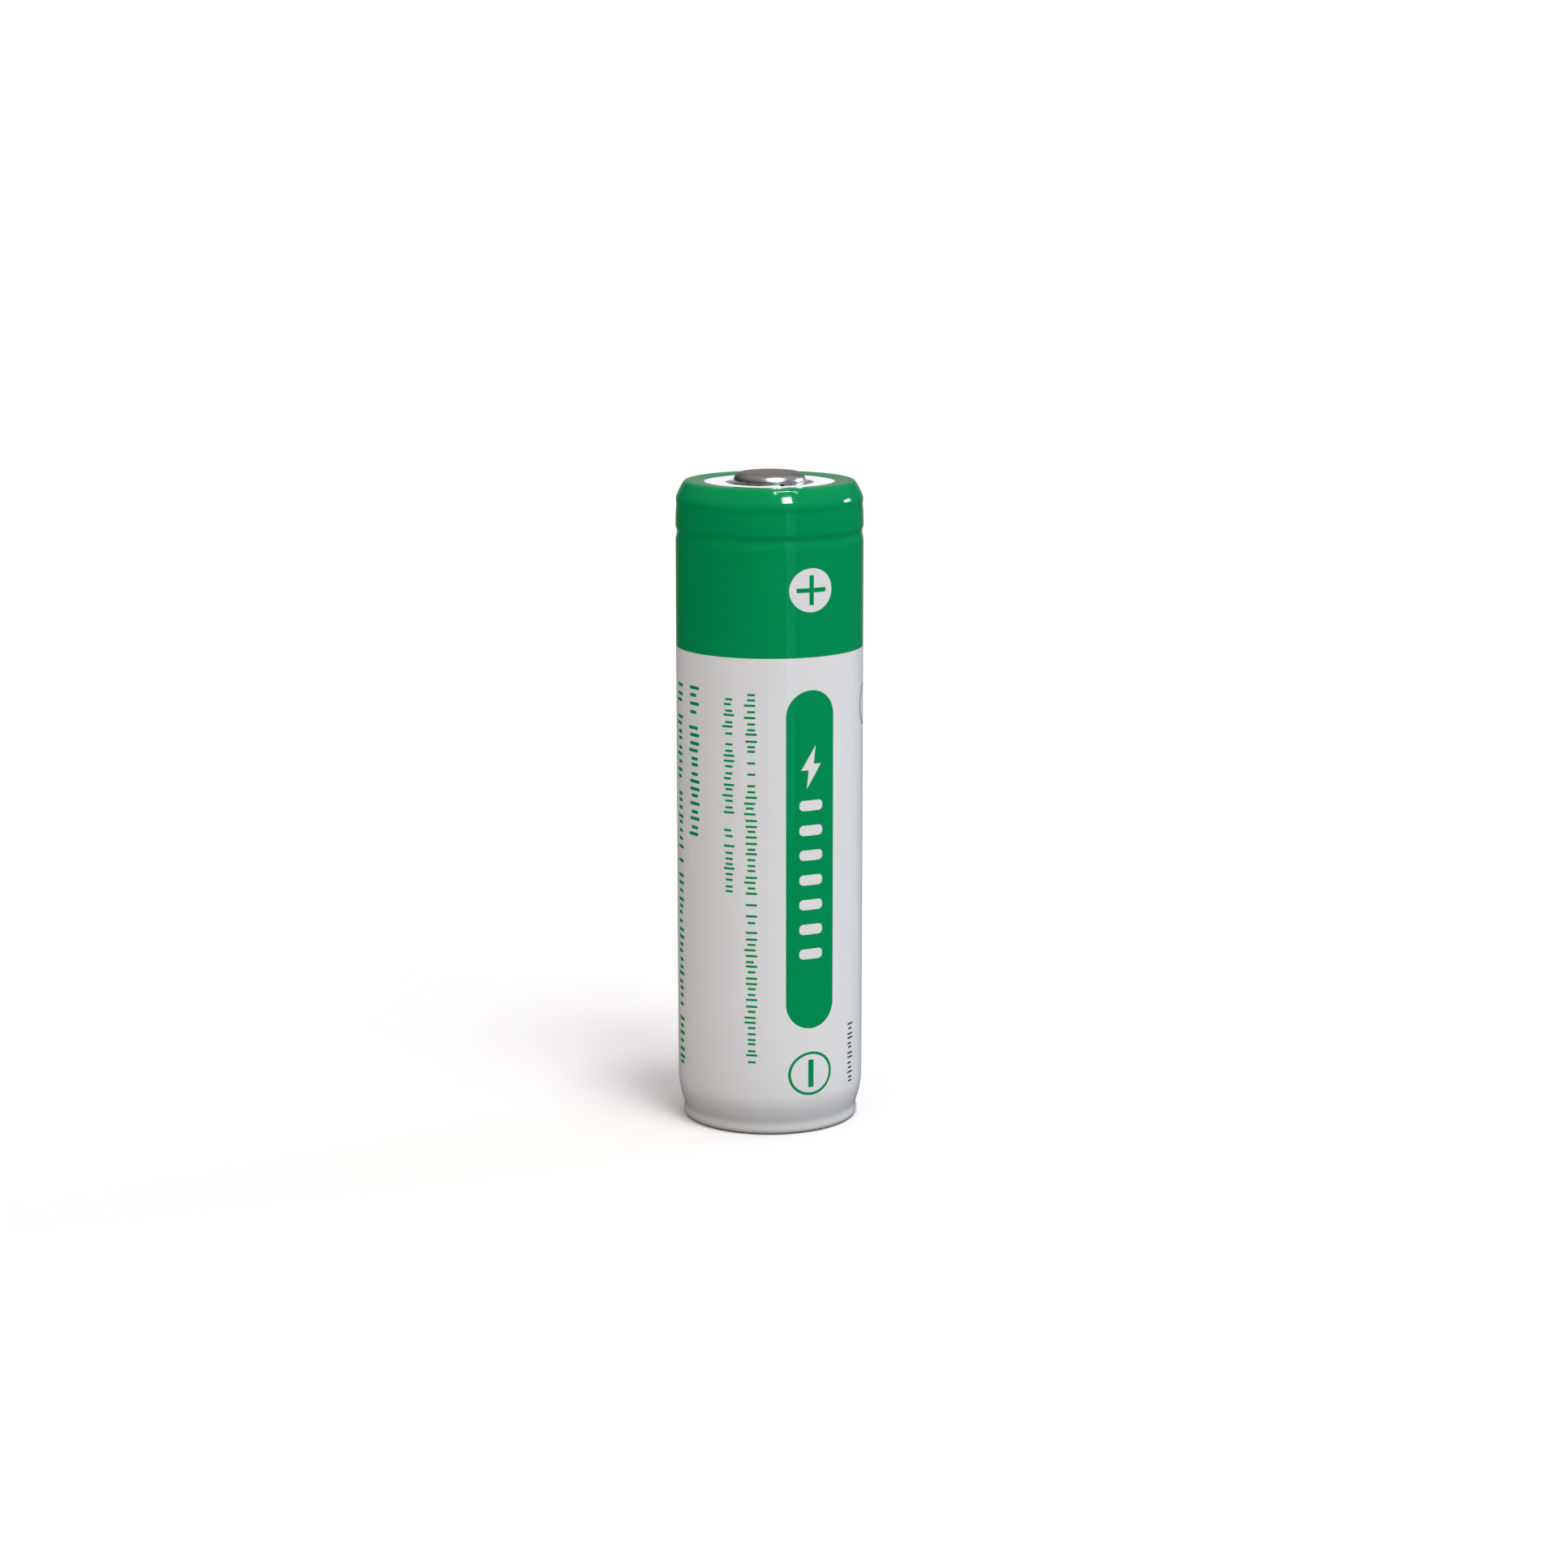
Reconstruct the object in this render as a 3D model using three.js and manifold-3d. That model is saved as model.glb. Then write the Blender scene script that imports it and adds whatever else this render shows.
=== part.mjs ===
// A protected 21700 lithium-ion cell with a raised button: the wound cell in its steel can, the
// protection board under the can, the button cap and collar above it, and the printed shrink sleeve
// round everything.
// Millimetres, +Z up. The origin is the centre of the negative contact face that the cell stands on.
import * as THREE from "three";
import { mergeVertices } from "three/addons/utils/BufferGeometryUtils.js";
import Module from "manifold-3d";

const wasm = await Module();
wasm.setup();

// ---- Driving dimensions -------------------------------------------------------------------------

const OVERALL_HEIGHT = 76.0;
const SLEEVE_RADIUS = 10.8;
const SLEEVE_FILM = 0.1;
const CELL_BASE = 3.0; // underside of the steel can: the protection board fills the space below it
const CELL_HEIGHT = 70.0; // bare 21700 cell, from the can's base to its flat terminal
const TERMINAL_TOP = CELL_BASE + CELL_HEIGHT;
const CLEARANCE = 0.02; // between neighbouring pieces
const ROUND = 32; // facets of a turned piece: a corner lies on each of +X, +Y, -X and -Y

// Steel can, with the rolled bead that holds the header up and the crimp that holds it down.
const CAN_RADIUS = 10.43;
const CAN_WALL = 0.25;
const CAN_FLOOR = 0.4;
const CAN_CORNER = 1.0;
const RIM_RADIUS = 10.33;
const BEAD_CENTRE = 69.3;
const BEAD_DEPTH = 1.05;
const BEAD_HALF_HEIGHT = 0.72;
const CRIMP_TOP = 72.55;
const CRIMP_LIP_RADIUS = 8.55;
const WASHER_BASE = CRIMP_TOP + CLEARANCE;
const WASHER_TOP = WASHER_BASE + 0.15;
const INNER_FILM = 0.07; // the bare cell's own wrap, under the lead

// Header: the gasket clamps the vent disc, the PTC ring and the terminal cap as one stack.
const HEADER_RADIUS = 9.5;
const GASKET_BASE = 70.12;
const GASKET_TOP = 72.1;
const GASKET_FLANGE = 0.44;
const VENT_DISC_THICKNESS = 0.3;
const PTC_THICKNESS = 0.3;
const CAP_SHEET = 0.45;
const DOME_RADIUS = 6.0;

// Winding. Seven thick turns stand for the twenty-odd thin ones of the real roll.
const TURNS = 7;
const FACETS_PER_TURN = 16;
const CORE_RADIUS = 1.75;
const ROLL_RADIUS = 10.0;
const TURN_PITCH = (ROLL_RADIUS - CORE_RADIUS) / (TURNS + 1);
const SEPARATOR_THICKNESS = 0.04;
const ANODE_THICKNESS = 0.45;
const CATHODE_THICKNESS = 0.42;
const SHEET_GAP = (TURN_PITCH - 2 * SEPARATOR_THICKNESS - ANODE_THICKNESS - CATHODE_THICKNESS) / 4;
const SEPARATOR_SPAN = [3.9, 67.8];
const ANODE_SPAN = [4.4, 67.3];
const CATHODE_SPAN = [5.0, 66.8];
const TAPE_ARC = THREE.MathUtils.degToRad(100);
const TAB_THICKNESS = 0.1;

// Button cap and collar.
const BUTTON_RADIUS = 4.15;
const BUTTON_FILLET = 1.0;
const BUTTON_SHEET = 0.3;
const BUTTON_SHELF_RADIUS = 5.6;
const BUTTON_SHELF_TOP = 74.63;
const BUTTON_FOOT_RADIUS = 6.2;
const BUTTON_FOOT_BASE = TERMINAL_TOP + 0.14;
const BUTTON_VENT_WIDTH = 0.56;
const BUTTON_VENT_HEIGHT = 0.28;
const BUTTON_VENT_TURN = THREE.MathUtils.degToRad(-69);
const COLLAR_HOLE_RADIUS = 5.05;
const COLLAR_RADIUS = 10.3;
const COLLAR_TOP = 74.83;
const COLLAR_BASE = 72.9;

// Side lead: a nickel strip from the terminal, down the can, to the board. It runs along +Y.
const LEAD_THICKNESS = 0.1;
const LEAD_WIDTH = 2 * 10.6 * Math.sin((2 * Math.PI) / ROUND); // one facet each side of +Y
const TAPE_WIDTH = 2 * LEAD_WIDTH;

// Protection board.
const BOARD_BASE = 0.24;
const BOARD_THICKNESS = 0.8;
const BOARD_TOP = BOARD_BASE + BOARD_THICKNESS;
const BOARD_RADIUS = 10.0;
const CONTACT_RADIUS = 8.4;
const CONTACT_THICKNESS = 0.2;
const CARRIER_RADIUS = 9.98;
const CARRIER_TOP = 2.72;

// ---- Materials ----------------------------------------------------------------------------------

function finish(color, roughness, metalness) {
  return new THREE.MeshStandardMaterial({ color, roughness, metalness });
}

const printedFilm = finish(0x008347, 0.3, 0);
const clearBlueFilm = finish(0x9fb8d8, 0.35, 0);
const whiteCard = finish(0xf4f4f2, 0.8, 0);
const nickelPlate = finish(0x8a8782, 0.25, 1);
const nickelStrip = finish(0xb9b5ab, 0.35, 1);
const aluminium = finish(0xc8c8ca, 0.4, 1);
const polypropylene = finish(0xe6e4dc, 0.5, 0);
const amberTape = finish(0xb7741c, 0.35, 0);
const greyPolymer = finish(0x3c3d40, 0.6, 0);
const separatorFilm = finish(0xf7f7f7, 0.6, 0);
const cathodeCoating = finish(0x26272b, 0.85, 0);
const anodeCoating = finish(0x3a3634, 0.85, 0);
const boardLaminate = finish(0x14532d, 0.4, 0);
const moulding = finish(0x17181a, 0.5, 0);
const resistorBody = finish(0x1d1d22, 0.4, 0);
const capacitorBody = finish(0xa9835a, 0.5, 0);

// ---- Geometry helpers ---------------------------------------------------------------------------

// Points [r, z] on an arc. Angles are in degrees, 0 along +r and 90 along +z.
function arc(r, z, radius, from, to, steps) {
  return Array.from({ length: steps + 1 }, (_, i) => {
    const angle = THREE.MathUtils.degToRad(from + ((to - from) * i) / steps);
    return [r + radius * Math.cos(angle), z + radius * Math.sin(angle)];
  });
}

function signedArea(points) {
  return points.reduce((sum, [r, z], i) => {
    const [nextR, nextZ] = points[(i + 1) % points.length];
    return sum + (r * nextZ - nextR * z) / 2;
  }, 0);
}

// Solid of revolution about Z. The profile either starts and ends on the axis or closes on itself.
function turned(profile) {
  const points = signedArea(profile) > 0 ? [...profile] : [...profile].reverse();
  const openOnAxis = profile[0][0] === 0 && profile.at(-1)[0] === 0;
  if (!openOnAxis) points.push(points[0]);
  const outline = points.map(([r, z]) => new THREE.Vector2(r, z));
  return new THREE.LatheGeometry(outline, ROUND).rotateX(Math.PI / 2);
}

// The polyline shifted sideways by distance, to the left of its direction, with mitred corners.
function shifted(path, distance) {
  const normals = path.slice(1).map(([r, z], i) => {
    const along = new THREE.Vector2(r - path[i][0], z - path[i][1]).normalize();
    return new THREE.Vector2(-along.y, along.x);
  });
  return path.map(([r, z], i) => {
    const before = normals[Math.max(0, i - 1)];
    const after = normals[Math.min(i, normals.length - 1)];
    const mitre = before.clone().add(after).normalize();
    const reach = distance / mitre.dot(after);
    return [r + mitre.x * reach, z + mitre.y * reach];
  });
}

// Closed outline of a sheet of the given thickness whose outer face follows the path.
function sheetOutline(outerPath, thickness) {
  return [...outerPath, ...shifted(outerPath, thickness).reverse()];
}

function shapeOf(points) {
  return new THREE.Shape(points.map(([x, y]) => new THREE.Vector2(x, y)));
}

// A flat shape drawn in plan, standing between two heights.
function upright(shape, low, high, curveSegments = 12) {
  const options = { depth: high - low, bevelEnabled: false, curveSegments };
  return new THREE.ExtrudeGeometry(shape, options).translate(0, 0, low);
}

// A metal strip. Its path is the centreline as [distance from the axis along +Y, z], its width lies along X.
function strip(path, thickness, width, steps = 1) {
  const outline = [...shifted(path, thickness / 2), ...shifted(path, -thickness / 2).reverse()];
  const options = { depth: width, steps, bevelEnabled: false };
  const toRow = new THREE.Matrix4().makeBasis(
    new THREE.Vector3(0, 1, 0),
    new THREE.Vector3(0, 0, 1),
    new THREE.Vector3(1, 0, 0),
  );
  return new THREE.ExtrudeGeometry(shapeOf(outline), options).translate(0, 0, -width / 2).applyMatrix4(toRow);
}

// Curves a strip round the cell: each point keeps its distance from the axis.
function wrappedRound(geometry) {
  const position = geometry.getAttribute("position");
  for (let i = 0; i < position.count; i++) {
    const x = position.getX(i);
    position.setY(i, Math.sqrt(position.getY(i) ** 2 - x ** 2));
  }
  return geometry;
}

function box(width, depth, low, high, x = 0, y = 0) {
  return new THREE.BoxGeometry(width, depth, high - low).translate(x, y, (low + high) / 2);
}

function solidOf(geometry) {
  const bare = geometry.clone();
  bare.deleteAttribute("normal");
  bare.deleteAttribute("uv");
  const merged = mergeVertices(bare);
  const vertProperties = merged.getAttribute("position").array;
  const triVerts = new Uint32Array(merged.index.array);
  return new wasm.Manifold(new wasm.Mesh({ numProp: 3, vertProperties, triVerts }));
}

function geometryOf(solid) {
  const { vertProperties, triVerts } = solid.getMesh();
  return new THREE.BufferGeometry()
    .setAttribute("position", new THREE.BufferAttribute(vertProperties, 3))
    .setIndex(new THREE.BufferAttribute(triVerts, 1));
}

function cut(geometry, ...tools) {
  return geometryOf(tools.reduce((solid, tool) => solid.subtract(solidOf(tool)), solidOf(geometry)));
}

function overlapOf(geometry, tool) {
  return geometryOf(solidOf(geometry).intersect(solidOf(tool)));
}

function joined(geometry, ...others) {
  return geometryOf(others.reduce((solid, other) => solid.add(solidOf(other)), solidOf(geometry)));
}

// Copies of a tool, made at angle 0 and turned about Z in equal steps.
function aroundAxis(count, firstAngle, make) {
  return Array.from({ length: count }, (_, i) => make().rotateZ(firstAngle + (i * 2 * Math.PI) / count));
}

const part = new THREE.Group();

function add(name, geometry, material) {
  const mesh = new THREE.Mesh(geometry, material);
  mesh.name = name;
  part.add(mesh);
  return mesh;
}

// ---- Outer sleeve -------------------------------------------------------------------------------

// Outer face of the film: from the lip under the board, over the board's edge and the can's lower
// corner, up the can, across the bead, over the rim and the collar's cone, to the lip on the collar.
const sleeveOuter = [
  [8.8, 0.06],
  [9.85, 0.06],
  [10.12, 0.14],
  [10.27, 0.38],
  [10.29, 1.0],
  [10.18, 1.85],
  [10.35, 2.55],
  [10.56, 3.2],
  [10.72, 3.8],
  [SLEEVE_RADIUS, 4.4],
  [SLEEVE_RADIUS, 68.6],
  [10.7, BEAD_CENTRE],
  [10.775, 70.1],
  [10.745, 70.8],
  [10.745, 72.5],
  [10.68, 73.1],
  [10.5, 73.65],
  [9.83, 74.88],
  [9.68, 75.02],
  [9.45, 75.05],
  [7.54, 74.95],
];
add("outer_sleeve", turned(sheetOutline(sleeveOuter, SLEEVE_FILM)), printedFilm);

// ---- Collar and button cap ----------------------------------------------------------------------

const footTop = BUTTON_FOOT_BASE + BUTTON_SHEET;
const collarProfile = [
  [COLLAR_HOLE_RADIUS, COLLAR_TOP],
  [9.55, COLLAR_TOP],
  [COLLAR_RADIUS, 73.45],
  [COLLAR_RADIUS, COLLAR_BASE],
  [BUTTON_FOOT_RADIUS + 0.1, COLLAR_BASE],
  [BUTTON_FOOT_RADIUS + 0.1, footTop + CLEARANCE],
  [BUTTON_SHELF_RADIUS + 0.1, footTop + CLEARANCE],
  [BUTTON_SHELF_RADIUS + 0.1, BUTTON_SHELF_TOP + CLEARANCE],
  [COLLAR_HOLE_RADIUS, BUTTON_SHELF_TOP + CLEARANCE],
];
const leadChannel = box(LEAD_WIDTH + 0.8, 6, COLLAR_BASE - 1, TERMINAL_TOP + 0.3, 0, 8.5);
add("top_collar", cut(turned(collarProfile), leadChannel), whiteCard);

// One stamping of even sheet: the crown, the shelf under the collar's edge, the skirt and the welded foot.
const crownCentre = BUTTON_RADIUS - BUTTON_FILLET;
const crownBase = OVERALL_HEIGHT - BUTTON_FILLET;
const buttonProfile = [
  [0, OVERALL_HEIGHT],
  ...arc(crownCentre, crownBase, BUTTON_FILLET, 90, 0, 4),
  [BUTTON_RADIUS, BUTTON_SHELF_TOP],
  [BUTTON_SHELF_RADIUS, BUTTON_SHELF_TOP],
  [BUTTON_SHELF_RADIUS, footTop],
  [BUTTON_FOOT_RADIUS, footTop],
  [BUTTON_FOOT_RADIUS, BUTTON_FOOT_BASE],
  [BUTTON_SHELF_RADIUS - BUTTON_SHEET, BUTTON_FOOT_BASE],
  [BUTTON_SHELF_RADIUS - BUTTON_SHEET, BUTTON_SHELF_TOP - BUTTON_SHEET],
  [BUTTON_RADIUS - BUTTON_SHEET, BUTTON_SHELF_TOP - BUTTON_SHEET],
  ...arc(crownCentre, crownBase, BUTTON_FILLET - BUTTON_SHEET, 0, 90, 2),
  [0, OVERALL_HEIGHT - BUTTON_SHEET],
];
const ventFloor = BUTTON_SHELF_TOP + 0.02;
const buttonVents = aroundAxis(3, BUTTON_VENT_TURN, () =>
  box(2, BUTTON_VENT_WIDTH, ventFloor, ventFloor + BUTTON_VENT_HEIGHT, BUTTON_RADIUS),
);
add("button_cap", cut(turned(buttonProfile), ...buttonVents), nickelPlate);

// ---- Steel can, with the washer and film of a bare cell -----------------------------------------

// The bead rolled into a wall: from the wall's radius below it to the rim's radius above it.
function beadLine(wallRadius, upperRadius, depth, halfHeight, steps) {
  return Array.from({ length: steps + 1 }, (_, i) => {
    const share = i / steps;
    const sink = (depth * (1 - Math.cos(2 * Math.PI * share))) / 2;
    const radius = wallRadius + (upperRadius - wallRadius) * share - sink;
    return [radius, BEAD_CENTRE + halfHeight * (2 * share - 1)];
  });
}

const canInnerRadius = CAN_RADIUS - CAN_WALL;
const rimInnerRadius = RIM_RADIUS - CAN_WALL;
const floorAngle = THREE.MathUtils.radToDeg(Math.asin((CAN_CORNER - CAN_FLOOR) / (CAN_CORNER - CAN_WALL)));
const canProfile = [
  [0, CELL_BASE],
  ...arc(CAN_RADIUS - CAN_CORNER, CELL_BASE + CAN_CORNER, CAN_CORNER, -90, 0, 3),
  ...beadLine(CAN_RADIUS, RIM_RADIUS, BEAD_DEPTH, BEAD_HALF_HEIGHT, 6),
  ...arc(RIM_RADIUS - 0.7, CRIMP_TOP - 0.7, 0.7, 0, 90, 3),
  [CRIMP_LIP_RADIUS, CRIMP_TOP - 0.12],
  [CRIMP_LIP_RADIUS, CRIMP_TOP - 0.12 - CAN_WALL],
  ...arc(RIM_RADIUS - 0.7, CRIMP_TOP - 0.7, 0.7 - CAN_WALL, 90, 0, 3),
  ...beadLine(canInnerRadius, rimInnerRadius, BEAD_DEPTH, BEAD_HALF_HEIGHT + CAN_WALL, 6).reverse(),
  ...arc(CAN_RADIUS - CAN_CORNER, CELL_BASE + CAN_CORNER, CAN_CORNER - CAN_WALL, 0, -floorAngle, 2),
  [0, CELL_BASE + CAN_FLOOR],
];
add("steel_can", turned(canProfile), nickelPlate);

const washerProfile = [
  [6.4, WASHER_BASE],
  [9.7, WASHER_BASE],
  [9.7, WASHER_TOP],
  [6.4, WASHER_TOP],
];
add("rim_washer", turned(washerProfile), whiteCard);

const filmOffset = INNER_FILM + CLEARANCE / 2;
const innerFilmOuter = [
  [8.9, CELL_BASE - filmOffset],
  ...arc(CAN_RADIUS - CAN_CORNER, CELL_BASE + CAN_CORNER, CAN_CORNER + filmOffset, -90, 0, 3),
  ...beadLine(CAN_RADIUS + filmOffset, RIM_RADIUS + filmOffset, 0.3, BEAD_HALF_HEIGHT, 2),
  ...arc(RIM_RADIUS - 0.6, CRIMP_TOP - 0.4, 0.6 + filmOffset, 0, 60, 3),
  [9.8, WASHER_TOP + filmOffset],
  [8.4, WASHER_TOP + filmOffset],
];
add("cell_wrap", turned(sheetOutline(innerFilmOuter, INNER_FILM)), clearBlueFilm);

// ---- Header -------------------------------------------------------------------------------------

const gasketFlangeTop = GASKET_BASE + GASKET_FLANGE;
const gasketProfile = [
  [8.95, GASKET_BASE],
  [rimInnerRadius - 0.15, GASKET_BASE],
  [rimInnerRadius - CLEARANCE, GASKET_BASE + 0.25],
  [rimInnerRadius - CLEARANCE, 71.7],
  [9.6, GASKET_TOP],
  [8.6, GASKET_TOP],
  [8.6, GASKET_TOP - 0.3],
  [HEADER_RADIUS + CLEARANCE, GASKET_TOP - 0.3],
  [HEADER_RADIUS + CLEARANCE, gasketFlangeTop],
  [8.95, gasketFlangeTop],
];
add("gasket", turned(gasketProfile), polypropylene);

// Vent disc: a rim in the stack, a dished web with a score line, and a centre that the plate holds.
const ventBase = gasketFlangeTop + CLEARANCE;
const ventTop = ventBase + VENT_DISC_THICKNESS;
const ventDiscProfile = [
  [0, ventTop - 0.8],
  [1.9, ventTop - 0.8],
  [4.4, ventTop - 0.34],
  [4.65, ventTop - 0.42],
  [4.9, ventTop - 0.26],
  [6.4, ventTop],
  [HEADER_RADIUS, ventTop],
  [HEADER_RADIUS, ventBase],
  [6.4, ventBase],
  [4.4, ventBase - 0.28],
  [1.9, ventTop - 1.05],
  [0, ventTop - 1.05],
];
add("vent_disc", turned(ventDiscProfile), aluminium);

const ptcBase = ventTop + CLEARANCE;
const ptcProfile = [
  [6.6, ptcBase],
  [HEADER_RADIUS, ptcBase],
  [HEADER_RADIUS, ptcBase + PTC_THICKNESS],
  [6.6, ptcBase + PTC_THICKNESS],
];
add("ptc_ring", turned(ptcProfile), greyPolymer);

const capFlangeBase = ptcBase + PTC_THICKNESS + CLEARANCE;
const terminalProfile = [
  [0, TERMINAL_TOP],
  [DOME_RADIUS - 0.25, TERMINAL_TOP],
  [DOME_RADIUS, TERMINAL_TOP - 0.2],
  [DOME_RADIUS + 0.35, capFlangeBase + CAP_SHEET],
  [HEADER_RADIUS, capFlangeBase + CAP_SHEET],
  [HEADER_RADIUS, capFlangeBase],
  [DOME_RADIUS, capFlangeBase],
  [DOME_RADIUS - 0.45, TERMINAL_TOP - CAP_SHEET],
  [0, TERMINAL_TOP - CAP_SHEET],
];
const terminalVents = aroundAxis(4, Math.PI / 4, () =>
  box(2, 3, capFlangeBase + CAP_SHEET, TERMINAL_TOP - CAP_SHEET, DOME_RADIUS),
);
add("terminal_cap", cut(turned(terminalProfile), ...terminalVents), nickelPlate);

const weldPlateTop = ventTop - 1.05 - CLEARANCE;
const weldPlateBase = weldPlateTop - 0.3;
const weldPlateProfile = [
  [0, weldPlateTop],
  [7.9, weldPlateTop],
  [7.9, weldPlateBase],
  [0, weldPlateBase],
];
const weldPlateHoles = aroundAxis(6, 0, () =>
  new THREE.CylinderGeometry(0.8, 0.8, 2, 12).rotateX(Math.PI / 2).translate(4.6, 0, weldPlateTop),
);
add("cid_weld_plate", cut(turned(weldPlateProfile), ...weldPlateHoles), aluminium);

const cidRingProfile = [
  [6.7, weldPlateTop + CLEARANCE],
  [8.7, weldPlateTop + CLEARANCE],
  [8.7, ventBase - CLEARANCE],
  [6.7, ventBase - CLEARANCE],
];
add("cid_insulator_ring", turned(cidRingProfile), polypropylene);

// ---- Winding ------------------------------------------------------------------------------------

// One sheet of the winding: the outline runs out along its outer face and back along its inner face.
function woundSheet(offset, thickness, [low, high]) {
  const facets = TURNS * FACETS_PER_TURN;
  const face = (depth) =>
    Array.from({ length: facets + 1 }, (_, i) => {
      const turns = (i + 0.5) / FACETS_PER_TURN;
      const radius = CORE_RADIUS + TURN_PITCH * turns + offset + depth;
      const angle = turns * 2 * Math.PI;
      return [radius * Math.cos(angle), radius * Math.sin(angle)];
    });
  return upright(shapeOf([...face(thickness), ...face(0).reverse()]), low, high);
}

const anodeOffset = SEPARATOR_THICKNESS + SHEET_GAP;
const outerSeparatorOffset = anodeOffset + ANODE_THICKNESS + SHEET_GAP;
const cathodeOffset = outerSeparatorOffset + SEPARATOR_THICKNESS + SHEET_GAP;
add("separator_inner", woundSheet(0, SEPARATOR_THICKNESS, SEPARATOR_SPAN), separatorFilm);
add("anode_sheet", woundSheet(anodeOffset, ANODE_THICKNESS, ANODE_SPAN), anodeCoating);
add("separator_outer", woundSheet(outerSeparatorOffset, SEPARATOR_THICKNESS, SEPARATOR_SPAN), separatorFilm);
add("cathode_sheet", woundSheet(cathodeOffset, CATHODE_THICKNESS, CATHODE_SPAN), cathodeCoating);

const closingTape = new THREE.Shape()
  .absarc(0, 0, ROLL_RADIUS + 0.1, 0, TAPE_ARC, false)
  .absarc(0, 0, ROLL_RADIUS + 0.05, TAPE_ARC, 0, true);
add("roll_closing_tape", upright(closingTape, 6, 65, 14), amberTape);

// Distance from the axis, along +Y, of the middle of a sheet on a given turn.
function sheetDistance(turn, offset, thickness) {
  const flatFacet = Math.cos(Math.PI / FACETS_PER_TURN);
  return (CORE_RADIUS + TURN_PITCH * (turn + 0.25) + offset + thickness / 2) * flatFacet;
}

const cathodeEdge = sheetDistance(4, cathodeOffset, CATHODE_THICKNESS);
const positiveTabPath = [
  [cathodeEdge, CATHODE_SPAN[1] + CLEARANCE],
  [cathodeEdge, 68.5],
  [cathodeEdge - 0.3, 68.75],
  [1.5, weldPlateBase - 0.12],
  [-1.5, weldPlateBase - 0.08],
];
add("positive_tab", strip(positiveTabPath, TAB_THICKNESS, 2.0), aluminium);

const anodeEdge = sheetDistance(TURNS - 1, anodeOffset, ANODE_THICKNESS);
const canFloorTop = CELL_BASE + CAN_FLOOR;
const negativeTabPath = [
  [anodeEdge, ANODE_SPAN[0] - CLEARANCE],
  [anodeEdge, 3.9],
  [anodeEdge - 0.2, 3.75],
  [2.0, 3.75],
  [1.2, canFloorTop + 0.08],
  [-1.4, canFloorTop + 0.08],
];
add("negative_tab", strip(negativeTabPath, TAB_THICKNESS, 2.0), nickelStrip);

const topInsulatorProfile = [
  [1.8, 67.95],
  [9.85, 67.95],
  [9.85, 68.2],
  [1.8, 68.2],
];
const tabSlot = box(3, 0.9, 67, 69, 0, cathodeEdge);
add("top_insulator", cut(turned(topInsulatorProfile), tabSlot), whiteCard);

const bottomInsulatorProfile = [
  [2.4, canFloorTop + CLEARANCE],
  [9.3, canFloorTop + CLEARANCE],
  [9.3, canFloorTop + 0.22],
  [2.4, canFloorTop + 0.22],
];
add("bottom_insulator", turned(bottomInsulatorProfile), whiteCard);

// ---- Side lead and its tape ---------------------------------------------------------------------

const leadPath = [
  [5.0, TERMINAL_TOP + 0.07],
  [10.15, TERMINAL_TOP + 0.07],
  [10.45, 72.85],
  [10.53, 72.5],
  [10.53, 70.3],
  [10.5, BEAD_CENTRE],
  [10.63, 68.55],
  [10.63, 4.4],
  [10.55, 3.8],
  [10.35, 3.2],
  [10.05, 2.6],
  [9.8, 2.1],
  [9.75, BOARD_TOP + 0.16],
  [9.6, BOARD_TOP + 0.07],
  [8.5, BOARD_TOP + 0.07],
];
add("positive_lead", wrappedRound(strip(leadPath, LEAD_THICKNESS, LEAD_WIDTH, 2)), nickelStrip);

const tapeOuter = [
  [10.57, 4.6],
  [10.57, 68.55],
  [10.44, BEAD_CENTRE],
  [10.47, 70.3],
  [10.47, 71.6],
];
const tapeWindow = box(TAPE_WIDTH, 10, 4, 72, 0, 10);
add("lead_tape", overlapOf(turned(sheetOutline(tapeOuter, 0.05)), tapeWindow), amberTape);

// ---- Protection board ---------------------------------------------------------------------------

const boardProfile = [
  [0, BOARD_TOP],
  [BOARD_RADIUS, BOARD_TOP],
  [BOARD_RADIUS, BOARD_BASE],
  [0, BOARD_BASE],
];
add("circuit_board", turned(boardProfile), boardLaminate);

const contactProfile = [
  [0, CONTACT_THICKNESS],
  [CONTACT_RADIUS, CONTACT_THICKNESS],
  [CONTACT_RADIUS, 0.06],
  [CONTACT_RADIUS - 0.06, 0],
  [0, 0],
];
add("negative_contact", turned(contactProfile), nickelPlate);

const carrierProfile = [
  [9.25, BOARD_TOP + CLEARANCE],
  [CARRIER_RADIUS, BOARD_TOP + CLEARANCE],
  [CARRIER_RADIUS, CARRIER_TOP],
  [9.25, CARRIER_TOP],
];
const leadGate = box(LEAD_WIDTH + 0.8, 3, 0, 4, 0, 10);
add("board_carrier", cut(turned(carrierProfile), leadGate), greyPolymer);

const basePaperProfile = [
  [0, CARRIER_TOP + 0.05],
  [8.7, CARRIER_TOP + 0.05],
  [8.7, CELL_BASE - 0.1],
  [0, CELL_BASE - 0.1],
];
const weldWindow = box(4, 4.4, 2, 4, 0, -3);
add("base_insulator", cut(turned(basePaperProfile), weldWindow), whiteCard);

// Drawn along +Y and turned to -Y: foot on the board, riser, and a tongue on the can's base.
const negativeLeadPath = [
  [6.6, BOARD_TOP + 0.07],
  [5.2, BOARD_TOP + 0.07],
  [5.0, BOARD_TOP + 0.25],
  [5.0, CELL_BASE - 0.25],
  [4.8, CELL_BASE - 0.07],
  [1.6, CELL_BASE - 0.07],
];
add("negative_lead", strip(negativeLeadPath, LEAD_THICKNESS, 2.8), nickelStrip).rotation.z = Math.PI;

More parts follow.
